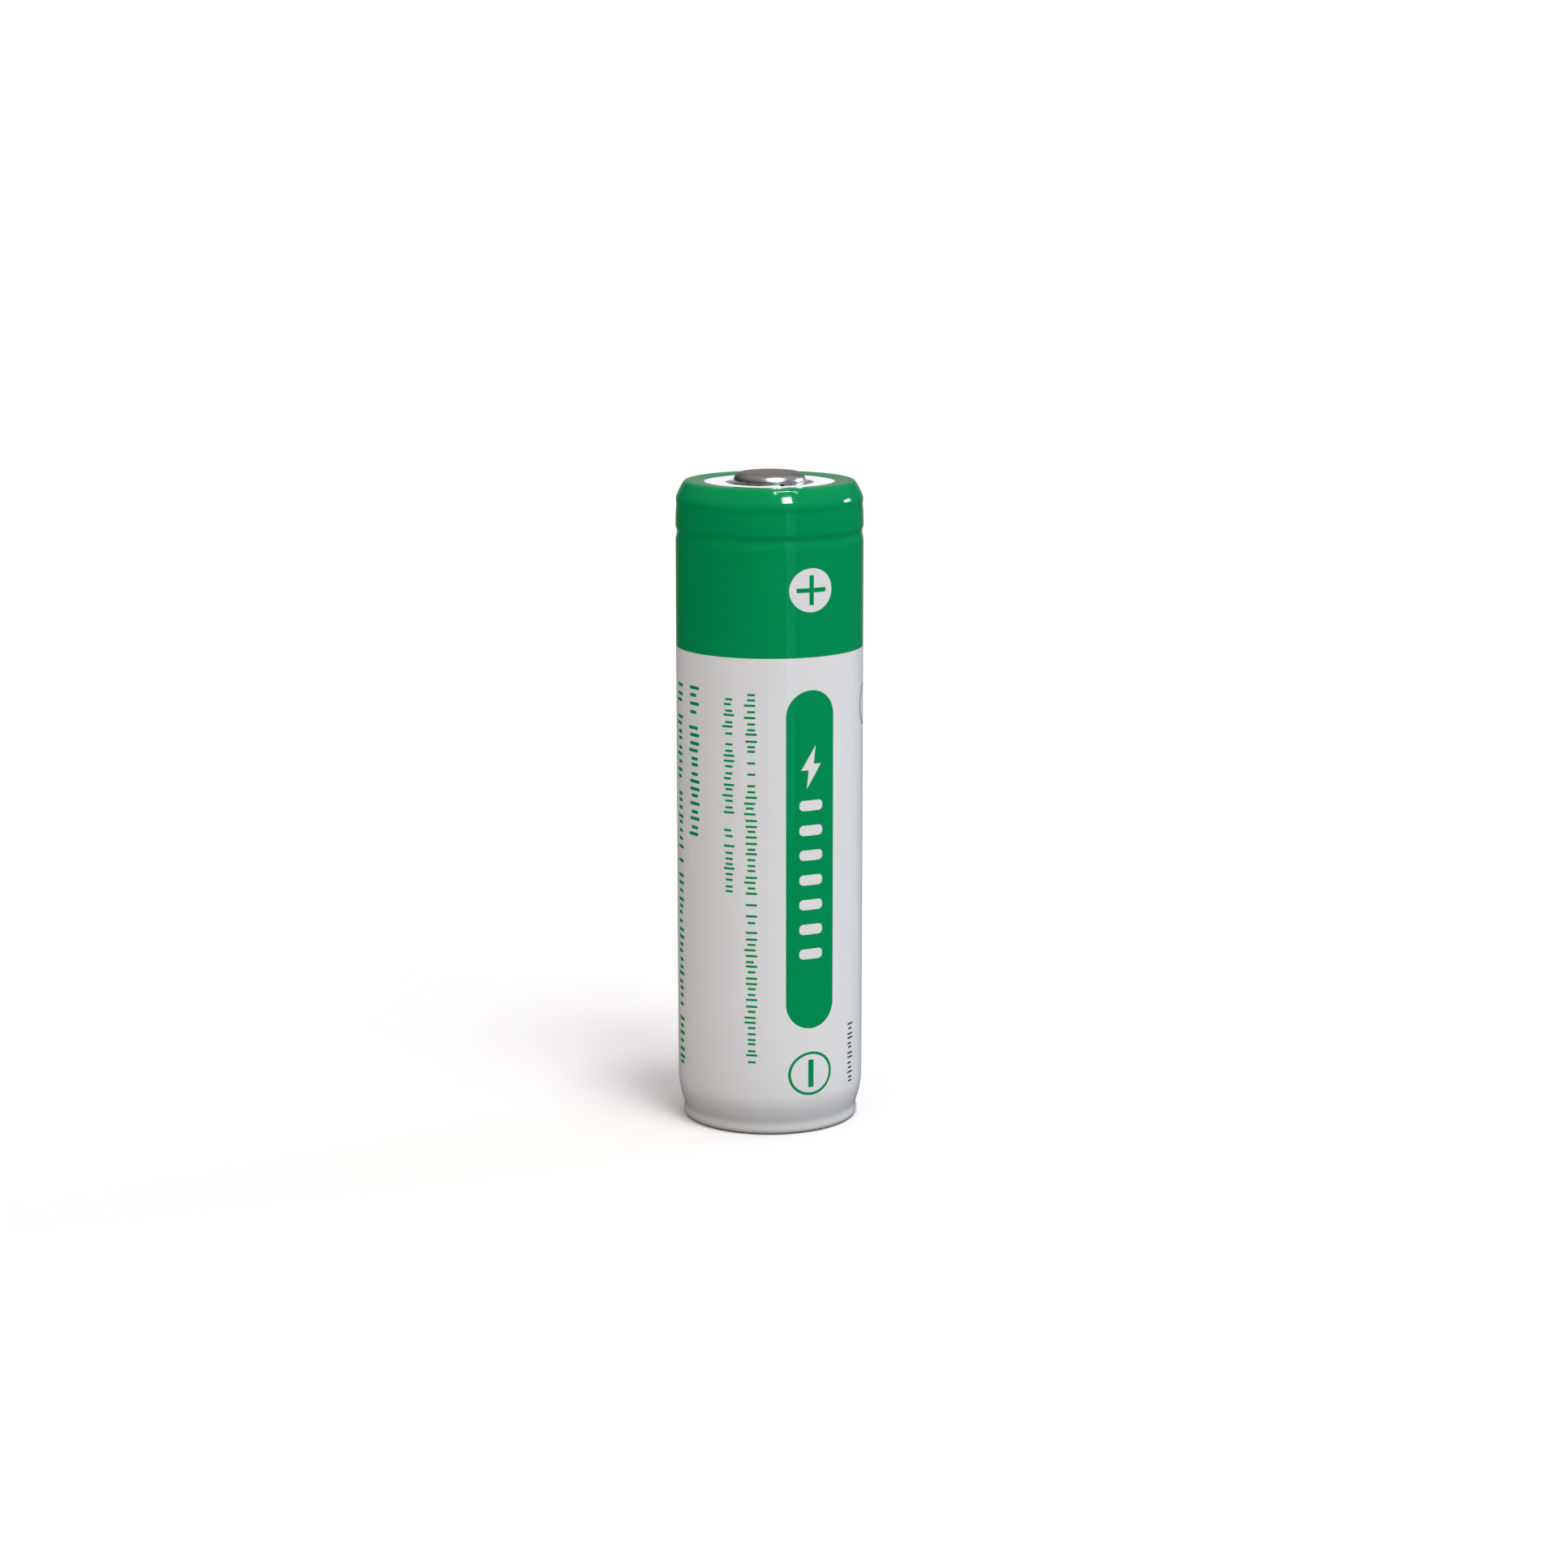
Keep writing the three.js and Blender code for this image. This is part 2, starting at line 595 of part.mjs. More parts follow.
// A moulded chip standing on the board at z 0: its body and the bent legs along both long sides.
function chip(bodyWidth, bodyDepth, bodyHeight, legsPerSide, legPitch) {
  const legPath = [
    [bodyDepth / 2 - 0.2, bodyHeight / 2],
    [bodyDepth / 2 + 0.35, bodyHeight / 2],
    [bodyDepth / 2 + 0.5, 0.06],
    [bodyDepth / 2 + 1.0, 0.06],
  ];
  const legs = Array.from({ length: legsPerSide }, (_, i) => {
    const x = (i - (legsPerSide - 1) / 2) * legPitch;
    return [0, Math.PI].map((turn) => strip(legPath, 0.12, 0.25).translate(x, 0, 0).rotateZ(turn));
  }).flat();
  return joined(box(bodyWidth, bodyDepth, 0.1, bodyHeight), ...legs);
}

// A surface-mount chip component: a body between two slightly larger end caps.
function endCapped(length, width, height) {
  const ends = [-1, 1].map((side) => box(0.35, width, 0, height, (side * (length - 0.35)) / 2));
  return joined(box(length - 0.2, width - 0.06, 0.03, height - 0.03), ...ends);
}

function onBoard(mesh, x, y) {
  mesh.position.set(x, y, BOARD_TOP + CLEARANCE);
}

for (const side of [-1, 1]) {
  const name = side < 0 ? "mosfet_left" : "mosfet_right";
  onBoard(add(name, chip(3.0, 4.4, 1.05, 4, 0.65), moulding), side * 4.6, -0.4);
}
onBoard(add("protection_ic", chip(2.9, 1.6, 1.1, 3, 0.95), moulding), 0, 5.2);
[
  ["resistor_sense", resistorBody, 0.45, -1.5, 2.2],
  ["resistor_supply", resistorBody, 0.45, 1.5, 2.2],
  ["capacitor_filter", capacitorBody, 0.8, 0, 0.4],
  ["capacitor_bypass", capacitorBody, 0.8, 0, -1.4],
].forEach(([name, material, height, x, y]) => {
  onBoard(add(name, endCapped(1.6, 0.8, height), material), x, y);
});

export default part;
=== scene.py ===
"""The looks of a protected cylindrical cell with a raised button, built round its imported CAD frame.

Blender's lengths are metres. Shapes here are worked out in millimetres and scaled once, by MM.
"""
import collections
import functools
import math
import random

import bmesh
import bpy
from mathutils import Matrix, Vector


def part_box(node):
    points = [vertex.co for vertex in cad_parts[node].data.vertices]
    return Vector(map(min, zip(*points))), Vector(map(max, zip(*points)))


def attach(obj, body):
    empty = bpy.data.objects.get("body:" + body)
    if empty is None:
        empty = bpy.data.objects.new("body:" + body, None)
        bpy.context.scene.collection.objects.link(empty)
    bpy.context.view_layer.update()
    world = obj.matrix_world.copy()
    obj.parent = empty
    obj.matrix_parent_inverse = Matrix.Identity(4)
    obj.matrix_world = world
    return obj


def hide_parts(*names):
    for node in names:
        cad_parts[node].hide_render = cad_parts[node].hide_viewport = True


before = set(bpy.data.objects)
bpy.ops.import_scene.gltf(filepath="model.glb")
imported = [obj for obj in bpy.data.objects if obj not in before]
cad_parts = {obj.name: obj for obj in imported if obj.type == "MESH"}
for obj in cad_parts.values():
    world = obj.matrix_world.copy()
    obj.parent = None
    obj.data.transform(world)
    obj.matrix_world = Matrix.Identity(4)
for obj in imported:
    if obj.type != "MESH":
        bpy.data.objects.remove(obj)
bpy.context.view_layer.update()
MM = 0.001


def span_mm(node):
    """(lowest corner, highest corner) of a CAD node in millimetres."""
    low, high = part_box(node)
    return low / MM, high / MM


def middle_mm(node):
    low, high = span_mm(node)
    return (low + high) / 2


# ---- Camera ----

CAMERA_PLACE = Vector((1.66, -394.1, 119.15)) * MM
CAMERA_TILT = 11.43  # degrees below the horizon
CAMERA_LENS = 79.2

camera = bpy.data.objects.new("camera", bpy.data.cameras.new("camera"))
camera.data.sensor_width = 36
camera.data.lens = CAMERA_LENS
camera.data.clip_start = 0.01
camera.data.clip_end = 100
camera.location = CAMERA_PLACE
camera.rotation_euler = (math.radians(90 - CAMERA_TILT), 0, 0)
bpy.context.scene.collection.objects.link(camera)
bpy.context.scene.camera = camera


# ---- Node trees ----

class Num:
    """A number in a node tree. Arithmetic on it adds Math nodes."""

    def __init__(self, tree, socket):
        self.tree = tree
        self.socket = socket

    def apply(self, operation, *others, clamp=False):
        node = added(self.tree, "Math", enumerate((self, *others)), operation=operation, use_clamp=clamp)
        return Num(self.tree, node.outputs[0])

    __add__ = functools.partialmethod(apply, "ADD")
    __sub__ = functools.partialmethod(apply, "SUBTRACT")
    __mul__ = functools.partialmethod(apply, "MULTIPLY")
    __truediv__ = functools.partialmethod(apply, "DIVIDE")
    __neg__ = functools.partialmethod(apply, "MULTIPLY", -1)
    __abs__ = functools.partialmethod(apply, "ABSOLUTE")
    least = functools.partialmethod(apply, "MINIMUM")
    most = functools.partialmethod(apply, "MAXIMUM")
    scaled = functools.partialmethod(apply, "MULTIPLY_ADD")  # by a factor, plus an offset
    clamped = functools.partialmethod(apply, "ADD", 0, clamp=True)
    opposite = functools.partialmethod(apply, "MULTIPLY_ADD", -1, 1)


def feed(tree, target, value):
    """Links a Num or a socket to an input, or sets the input's own value. Colours are opaque."""
    if isinstance(value, Num):
        value = value.socket
    if isinstance(value, bpy.types.NodeSocket):
        tree.links.new(value, target)
    elif target.type == "RGBA":
        target.default_value = (*value, 1)
    else:
        target.default_value = value


def added(tree, kind, inputs=(), **settings):
    """A new shader node. Its inputs go by name or number."""
    node = tree.nodes.new("ShaderNode" + kind)
    for name, setting in settings.items():
        setattr(node, name, setting)
    for key, value in dict(inputs).items():
        feed(tree, node.inputs[key], value)
    return node


def hypotenuse(a, b):
    return (a * a + b * b).apply("SQRT")


def mixed(tree, share, first, second):
    """The colour between two colours, by a share from 0 to 1."""
    inputs = {"Factor": share, "A": first, "B": second}
    return added(tree, "Mix", inputs, data_type="RGBA").outputs["Result"]


class Finish:
    """A Principled material and short calls for the textures that feed it."""

    def __init__(self, name, roughness, metallic=0, specular=0.5):
        self.material = bpy.data.materials.new(name)
        self.material.use_nodes = True
        self.tree = self.material.node_tree
        self.shader = self.tree.nodes["Principled BSDF"]
        self.set("Roughness", roughness)
        self.set("Metallic", metallic)
        self.set("Specular IOR Level", specular)
        place = self.add("TexCoord").outputs["Object"]
        self.place = self.add("VectorMath", {0: place, "Scale": 1 / MM}, operation="SCALE").outputs[0]
        self.x, self.y, self.z = self.parts("SeparateXYZ", self.place)

    def set(self, name, value):
        feed(self.tree, self.shader.inputs[name], value)

    def add(self, kind, inputs=(), **settings):
        return added(self.tree, kind, inputs, **settings)

    def parts(self, kind, whole):
        return [Num(self.tree, part) for part in self.add(kind, {0: whole}).outputs]

    def vector(self, x, y, z):
        return self.add("CombineXYZ", enumerate((x, y, z))).outputs[0]

    def noise(self, scale, detail=2, stretch=(1, 1, 1), at=None):
        """Noise about 0.5, with features about 1 / scale millimetres across, drawn out by stretch."""
        mapping = self.add("Mapping", {"Scale": [scale / s for s in stretch], "Vector": at or self.place})
        node = self.add("TexNoise", {"Scale": 1, "Detail": detail, "Vector": mapping.outputs[0]})
        return Num(self.tree, node.outputs[0])

    def mix(self, share, first, second):
        return mixed(self.tree, share, first, second)

    def done(self, base, roughness, height, depth):
        """The material, with its colour, its roughness and a relief of depth millimetres."""
        self.set("Base Color", base)
        self.set("Roughness", roughness)
        self.set("Normal", self.add("Bump", {"Distance": depth * MM, "Height": height}).outputs[0])
        return self.material


def colour(red, green, blue):
    """A node colour from sRGB values of 0 to 255."""
    shares = (red / 255, green / 255, blue / 255)
    return [c / 12.92 if c < 0.0404 else ((c + 0.055) / 1.055) ** 2.4 for c in shares]


# ---- Meshes ----

def smooth_line(points, spacing, long_spacing=1.2):
    """A centripetal Catmull-Rom curve, with points about spacing apart."""
    pts = [Vector(p) for p in points]
    pts = [2 * pts[0] - pts[1], *pts, 2 * pts[-1] - pts[-2]]
    line = []
    for a, b, c, d in zip(pts, pts[1:], pts[2:], pts[3:]):
        t0 = 0
        t1 = t0 + (b - a).length ** 0.5
        t2 = t1 + (c - b).length ** 0.5
        t3 = t2 + (d - c).length ** 0.5
        reach = (c - b).length
        steps = max(1, math.ceil(reach / (long_spacing if reach > 5 else spacing)))
        for i in range(steps):
            t = t1 + (t2 - t1) * i / steps
            ab = a.lerp(b, (t - t0) / (t1 - t0))
            bc = b.lerp(c, (t - t1) / (t2 - t1))
            cd = c.lerp(d, (t - t2) / (t3 - t2))
            first = ab.lerp(bc, (t - t0) / (t2 - t0))
            last = bc.lerp(cd, (t - t1) / (t3 - t1))
            line.append(first.lerp(last, (t - t1) / (t2 - t1)))
    line.append(pts[-2])
    return line


def normals_of(line):
    """Unit normals of an open line, to the right of its direction."""
    along = [line[1] - line[0], *(b - a for a, b in zip(line, line[2:])), line[-1] - line[-2]]
    return [Vector((d.y, -d.x)).normalized() for d in along]


def arc(r, z, radius, start, end, steps=6):
    """Points on an arc, in degrees, 0 along +r and 90 along +z."""
    angles = [math.radians(start + (end - start) * i / steps) for i in range(steps + 1)]
    return [Vector((r + radius * math.cos(a), z + radius * math.sin(a))) for a in angles]


def round_corner(before, corner, after, radius, share):
    """Points round a corner, cutting up to a radius or a share of each side."""
    corner = Vector(corner)
    first, last = Vector(before) - corner, Vector(after) - corner
    cut = min(radius, share * first.length, share * last.length)
    first, last = corner + first.normalized() * cut, corner + last.normalized() * cut
    return [first.lerp(corner, t).lerp(corner.lerp(last, t), t) for t in (0, 0.25, 0.5, 0.75, 1)]


def rounded(outline, radius):
    """A closed outline with every corner rounded that isn't on the axis."""
    result = []
    for i, corner in enumerate(outline):
        after = outline[(i + 1) % len(outline)]
        on_axis = corner[0] < 1e-6
        result += [Vector(corner)] if on_axis else round_corner(outline[i - 1], corner, after, radius, 0.4)
    return result


def spun(x, y, degrees):
    """A place turned about Z."""
    cos, sin = math.cos(math.radians(degrees)), math.sin(math.radians(degrees))
    return x * cos - y * sin, x * sin + y * cos


SHARP = 32  # degrees between faces, over which an edge looks sharp
SLIVER = 0.001 * MM


def filled(mesh, bm, sharp=SHARP):
    """Moves a bmesh into a mesh that is smooth except at its sharp edges."""
    bm.to_mesh(mesh)
    bm.free()
    mesh.polygons.foreach_set("use_smooth", [True] * len(mesh.polygons))
    mesh.set_sharp_from_angle(angle=math.radians(sharp))


def new_piece(name, bm, sharp=SHARP):
    """A scene object from a bmesh in metres."""
    mesh = bpy.data.meshes.new(name)
    bmesh.ops.recalc_face_normals(bm, faces=bm.faces)
    filled(mesh, bm, sharp)
    piece = bpy.data.objects.new(name, mesh)
    bpy.context.scene.collection.objects.link(piece)
    return piece


def revolved(outline, segments, shape=None):
    """A bmesh turned about Z. Its outline is a loop, or starts and ends on the axis.
    shape(r, z, index, angle) moves a point."""
    bm = bmesh.new()
    open_on_axis = abs(outline[0][0]) < 1e-6 and abs(outline[-1][0]) < 1e-6
    rings = []
    for index, (r, z) in enumerate(outline):
        if abs(r) < 1e-6:
            rings.append([bm.verts.new((0, 0, z * MM))] * segments)
            continue
        ring = []
        for j in range(segments):
            angle = 2 * math.pi * j / segments
            radius, height = shape(r, z, index, angle) if shape else (r, z)
            x, y = radius * math.sin(angle), -radius * math.cos(angle)
            ring.append(bm.verts.new((x * MM, y * MM, height * MM)))
        rings.append(ring)
    pairs = list(zip(rings, rings[1:]))
    if not open_on_axis:
        pairs.append((rings[-1], rings[0]))
    for lower, upper in pairs:
        for j in range(segments):
            corners = [lower[j - 1], lower[j], upper[j], upper[j - 1]]
            unique = list(dict.fromkeys(corners))
            if len(unique) > 2:
                bm.faces.new(unique)
    return bm


def combined(piece, others, operation):
    """The piece after a boolean with each of the others, which are removed."""
    for other in others:
        modifier = piece.modifiers.new(other.name, "BOOLEAN")
        modifier.operation = operation
        modifier.solver = "EXACT"
        modifier.object = other
    evaluated = piece.evaluated_get(bpy.context.evaluated_depsgraph_get())
    mesh = bpy.data.meshes.new_from_object(evaluated)
    mesh.name = piece.name
    piece.modifiers.clear()
    piece.data = mesh
    bm = bmesh.new()
    bm.from_mesh(mesh)
    bmesh.ops.remove_doubles(bm, verts=bm.verts, dist=SLIVER)
    bmesh.ops.dissolve_degenerate(bm, dist=SLIVER, edges=bm.edges)
    filled(mesh, bm)
    for other in others:
        bpy.data.objects.remove(other)
    return piece


def block(low, high, turn=0, bevel=0.1, name="block"):
    """A box with rounded edges, between two corners in millimetres, turned about Z in degrees."""
    bm = bmesh.new()
    bmesh.ops.create_cube(bm, size=1)
    low = Vector(low)
    size = Vector(high) - low
    for vertex in bm.verts:
        vertex.co = Vector((vertex.co[i] + 0.5) * size[i] + low[i] for i in range(3))
    bmesh.ops.bevel(bm, geom=bm.edges[:], offset=bevel, segments=4, affect="EDGES", profile=0.5)
    for vertex in bm.verts:
        x, y, z = vertex.co
        vertex.co = Vector((*spun(x, y, turn), z)) * MM
    return new_piece(name, bm)


def finished(piece, material, slot, node):
    """Gives a piece its material and its body, and hides the CAD node that it stands for. The slot is not
    used.
    """
    piece.data.materials.clear()
    piece.data.materials.append(material)
    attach(piece, "root")
    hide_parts(node)


# ---- Printed film ----

RADIUS, _, TOP = span_mm("outer_sleeve")[1]
FILM = 0.1  # its thickness
GREEN_EDGE = 56  # height of the line between the two print colours
EDGE_SOFTNESS = 0.03


def inked(distance):
    """1 inside a printed shape and 0 outside, from the distance to its edge."""
    return distance.scaled(-1 / EDGE_SOFTNESS, 0.5, clamp=True)


def disc(s, z, radius):
    return hypotenuse(s, z) - radius


def ring(s, z, radius, width):
    return abs(disc(s, z, radius)) - width / 2


def bar(s, z, half_width, half_height):
    return (abs(s) - half_width).most(abs(z) - half_height)


def capsule(s, z, radius, half_length):
    """A shape with round ends along z. half_length is to the centres of the ends."""
    return hypotenuse(s, (abs(z) - half_length).most(0)) - radius


def triangle(s, z, corners):
    """Distance to the edge of a triangle whose corners run anticlockwise."""
    result = None
    for (s0, z0), (s1, z1) in zip(corners, corners[1:] + corners[:1]):
        length = math.hypot(s1 - s0, z1 - z0)
        out_s, out_z = (z1 - z0) / length, (s0 - s1) / length
        side = (s * out_s + z * out_z) - (s0 * out_s + z0 * out_z)
        result = side if result is None else result.most(side)
    return result


def tick_row(finish, s, z, row):
    """A row of plain ticks along the cell, with gaps between groups, in place of a line of words."""
    below = -z + row.top
    index = (below / row.pitch).apply("FLOOR")
    seed = {"Vector": finish.vector(index, row.azimuth, 0)}
    draws = finish.add("TexWhiteNoise", seed, noise_dimensions="2D").outputs["Color"]
    tall, gap, low = finish.parts("SeparateColor", draws)
    reach = (tall.apply("GREATER_THAN", 0.55) * 0.18 + 0.3) * row.height
    sunk = low.apply("GREATER_THAN", 0.8) * -0.16 * row.height
    uneven = (low * 13).apply("FRACT") * 0.3
    along = abs(below - (index + 0.35 + uneven) * row.pitch)
    tick = hypotenuse((abs(s - sunk) - reach).most(0), along) - row.stroke / 2
    half_length = row.count * row.pitch / 2
    ends = bar(s, z - (row.top - half_length), 9, half_length)
    return tick.most(ends) + gap.apply("LESS_THAN", 0.13)


Row = collections.namedtuple("Row", "azimuth top count height pitch stroke")
BACK_ROWS = (  # azimuth and places for ticks
    (-101, 61), (-110, 73), (-119, 50), (-137, 67), (-146, 37), (-155, 71), (136, 54),
    (145, 68), (154, 44),
)
WORD_ROWS = (  # azimuth in degrees from -Y towards +X, places for ticks, and the rest in millimetres
    Row(-11, 52.2, 66, 1.15, 0.66, 0.27),
    Row(-25.2, 52.3, 37, 1.15, 0.66, 0.27),
    Row(-52.5, 52.4, 20, 1.45, 0.9, 0.4),
    Row(-71.5, 52.3, 51, 1.45, 0.9, 0.4),
    *(Row(azimuth, 52.3, count, 0.85, 0.6, 0.24) for azimuth, count in BACK_ROWS),
)
CODE_ROW = Row(59.8, 12.4, 13, 0.95, 0.58, 0.24)
MARK_AZIMUTH = 26.2  # of the polarity marks
MARK_STRETCH = 0.93  # the film shrinks less round the cell than along it, so round marks are a little wide
PLUS_HEIGHT, MINUS_HEIGHT = 63.65, 7.3
PANEL_AZIMUTH, PANEL_HEIGHT, PANEL_RADIUS, PANEL_HALF_LENGTH = 26.1, 32.475, 3.03, 16.745
BOLT_HEIGHT = 43.4
BOLT_HALF = ((0.55, 2.5), (-1.25, -0.35), (0.25, -0.35))  # the other half is the same, turned over
GAUGE_LOW, GAUGE_PITCH, GAUGE_BARS = 20.1, 2.9, 7
SIDE_MARK_LINE = 0.15  # half the width of the lines of the square and the triangle


def print_masks(finish):
    """(green ink, dark ink) over the sleeve, each from 0 to 1."""
    azimuth = finish.x.apply("ARCTAN2", -finish.y)
    z = finish.z

    def across(degrees):
        return (azimuth - math.radians(degrees)) * RADIUS

    s = across(MARK_AZIMUTH) * MARK_STRETCH
    height = z - PLUS_HEIGHT
    plus = bar(s, height, 0.26, 1.7).least(bar(s, height, 1.7, 0.26))
    knocked_out = inked(disc(s, height, 2.49)) * inked(plus).opposite()
    green = inked(-z + GREEN_EDGE) * knocked_out.opposite()

    panel = across(PANEL_AZIMUTH)
    height = z - BOLT_HEIGHT
    bolt = triangle(panel, height, BOLT_HALF).least(triangle(panel, height, [(-a, -b) for a, b in BOLT_HALF]))
    step = (z - GAUGE_LOW).apply("MODULO", GAUGE_PITCH) - GAUGE_PITCH / 2
    gauge = hypotenuse((abs(panel) - 0.95).most(0), (abs(step) - 0.1).most(0)) - 0.5
    half_gauge = GAUGE_PITCH * GAUGE_BARS / 2
    gauge = gauge.most(abs(z - (GAUGE_LOW + half_gauge)) - half_gauge)
    panel_ink = inked(capsule(panel, z - PANEL_HEIGHT, PANEL_RADIUS, PANEL_HALF_LENGTH))
    green = green.most(panel_ink * inked(bolt.least(gauge)).opposite())

    height = z - MINUS_HEIGHT
    marks = ring(s, height, 2.44, 0.32).least(bar(s, height, 0.32, 1.65))
    marks = marks.least(ring(across(87.5), z - 49.3, 2.5, 0.34))
    behind = across(106)
    square = bar(behind, z - 42.1, 2, 2)
    warning = triangle(behind, z - 34.9, ((0, 2.4), (-2.2, -1.4), (2.2, -1.4)))
    for outline in (square, warning):
        marks = marks.least(abs(outline) - SIDE_MARK_LINE)
    for row in WORD_ROWS:
        marks = marks.least(tick_row(finish, across(row.azimuth), z, row))
    green = green.most(inked(marks))

    dark = inked(tick_row(finish, across(CODE_ROW.azimuth), z, CODE_ROW))
    return green, dark


def printed_film():
    finish = Finish("printed_film", roughness=0.13, specular=0.15)
    green, dark = print_masks(finish)
    cloud = finish.noise(0.12, detail=3)
    body = finish.mix(cloud, colour(225, 224, 222), colour(229, 229, 229))
    ink = finish.mix(cloud, colour(0, 140, 79), colour(0, 145, 82))
    base = finish.mix(green, body, ink)
    base = finish.mix(dark, base, colour(70, 70, 74))
    streaks = finish.noise(1.1, detail=3, stretch=(1, 1, 9))
    peel = finish.noise(0.5, detail=1.5, stretch=(1, 1, 4))
    ink_step = green * 0.2
    roughness = streaks.scaled(0.05, 0.045)
    return finish.done(base, roughness, peel + ink_step, 0.0018)


FOOT_LINE = (  # (inset from the radius, height), from the lip's edge under the board to the straight side
    (2, 0.06), (1.3, 0.06), (0.98, 0.065), (0.82, 0.085), (0.71, 0.15), (0.64, 0.27), (0.605, 0.42),
    (0.6, 0.6), (0.625, 0.8), (0.655, 1.02), (0.665, 1.25), (0.635, 1.5), (0.55, 1.83), (0.44, 2.2),
    (0.32, 2.65), (0.18, 3.2), (0.075, 3.8), (0.015, 4.35), (0, 4.9),
)
HEAD_LINE = (  # (inset, depth below the top), from the straight side over the bead to the lip's edge
    (0, 7.6), (0, 6.9), (0.03, 6.6), (0.12, 6.17), (0.165, 5.9), (0.125, 5.6), (0.02, 5.27), (0, 4.8),
    (0.015, 4.2), (0.05, 3.4), (0.095, 2.88), (0.1, 2.62), (0.065, 2.32), (0.06, 2.08), (0.1, 1.85),
    (0.185, 1.6), (0.32, 1.3), (0.585, 0.78), (0.9, 0.24), (1.05, 0.085), (1.3, 0.01), (1.7, 0.01),
    (3.26, 0.1),
)
LEAD_HALF, LEAD_RELIEF, TAPE_HALF, TAPE_RELIEF = 2.07, 0.05, 4.14, 0.02
RIDGE_START, RIDGE_END = (2.2, 4.5), (71.5, 73.2)  # heights over which the lead's ridge rises and fades
HEAD_LIP, FOOT_LIP = (7.6, 9.6), (8.8, 9.9)  # radii over which the pleats fade
PLEATS = ((9, 0.006), (14, 0.004), (23, 0.002))  # how many round the lip and how high
SLEEVE_SEGMENTS = 256


def eased(value, low, high):
    t = min(1, max(0, (value - low) / (high - low)))
    return t * t * (3 - 2 * t)


def sleeve():
    """The shrunk film: a smooth skin over the lead's flat ridge, with fine pleats in both lips."""
    line = [(RADIUS - inset, height) for inset, height in FOOT_LINE]
    line += [(RADIUS - inset, TOP - depth) for inset, depth in HEAD_LINE]
    outer = smooth_line(line, 0.14)
    out = normals_of(outer)
    inner = [(p - n * FILM, n) for p, n in list(zip(outer, out))[::3]]
    last = (outer[-1] - out[-1] * FILM, out[-1])
    loop = list(zip(outer, out)) + [last] + inner[::-1]
    phase = random.Random(5).uniform(0, 2 * math.pi)

    def shape(r, z, index, angle):
        direction = loop[index][1]
        turned = (angle + math.pi) % (2 * math.pi) - math.pi
        beside_lead = abs(math.pi - abs(turned)) * RADIUS
        on_side = eased(z, *RIDGE_START) * (1 - eased(z, *RIDGE_END))
        relief = on_side * LEAD_RELIEF * (1 - eased(beside_lead, LEAD_HALF - 0.1, LEAD_HALF + 0.5))
        relief += on_side * TAPE_RELIEF * (1 - eased(beside_lead, TAPE_HALF - 0.1, TAPE_HALF + 0.4))
        lip = 1 - eased(r, *(HEAD_LIP if z > TOP / 2 else FOOT_LIP))
        pleat = lip * sum(size * math.cos(count * angle + phase) for count, size in PLEATS)
        return r + direction.x * relief + 1.6 * pleat, z + direction.y * relief + pleat

    return new_piece("printed_sleeve", revolved([p for p, _ in loop], SLEEVE_SEGMENTS, shape), sharp=50)


finished(sleeve(), printed_film(), "sleeve", "outer_sleeve")


# ---- Collar, button and contact ----

BUTTON_AXIS_TURN = -69  # azimuth of the first vent, in degrees from +X
BUTTON_CROWN_RADIUS = 4.15
BUTTON_FILLET = 1.02
BUTTON_SHEET = 0.3
BUTTON_DOME = 0.05
COLLAR_HOLE, COLLAR_LEDGE = 5.05, 73.46
LEAD_SLOT = 2.47  # half the width of the slots that the lead lies in
FINE = 192  # segments of a large turned piece


def nickel_steel():
    """Drawn and plated steel: faint turning rings, a cloudy plating and a few fine scuffs."""
    finish = Finish("nickel_steel", roughness=0.28, metallic=1)
    radius = hypotenuse(finish.x, finish.y)
    rings = finish.noise(1, detail=4, at=finish.vector(radius * 9, finish.z * 9, 0))
    cloud = finish.noise(0.45, detail=3)
    scuffs = finish.noise(2.2, detail=6, stretch=(6, 1, 1)).apply("POWER", 5) * 6
    tone = (cloud * 0.6 + rings * 0.4).clamped()
    base = finish.mix(tone, (0.40, 0.385, 0.37), (0.56, 0.545, 0.53))
    roughness = (rings * 0.08 + scuffs * 0.12 + 0.22).clamped()
    return finish.done(base, roughness, rings * 0.7 + scuffs * 0.5, 0.004)


def white_collar():
    """Matt moulded white plastic with a fine spark-eroded grain."""
    finish = Finish("white_collar", roughness=0.6, specular=0.35)
    grain = finish.noise(7, detail=3)
    cloud = finish.noise(0.5)
    base = finish.mix(cloud, (0.88, 0.90, 0.89), (0.94, 0.95, 0.945))
    roughness = grain.scaled(0.25, 0.45)
    return finish.done(base, roughness, grain, 0.012)


def collar():
    """The moulded ring that fills the step over the bare cell's crimp."""
    low, high = span_mm("top_collar")
    shelf = span_mm("button_cap")[1].x - 0.5
    lip_base = high.z - 0.18
    outline = [
        (COLLAR_HOLE, high.z), (9.55, high.z), (high.x, 73.45), (high.x, low.z), (6.3, low.z),
        (6.3, COLLAR_LEDGE), (shelf, COLLAR_LEDGE), (shelf, lip_base), (COLLAR_HOLE, lip_base),
    ]
    ring_piece = new_piece("collar_ring", revolved(rounded(outline, 0.08), FINE))
    lead_slot = block((-LEAD_SLOT, 5.5, low.z - 1), (LEAD_SLOT, 11.5, 73.3), bevel=0.15)
    return combined(ring_piece, [lead_slot], "DIFFERENCE")


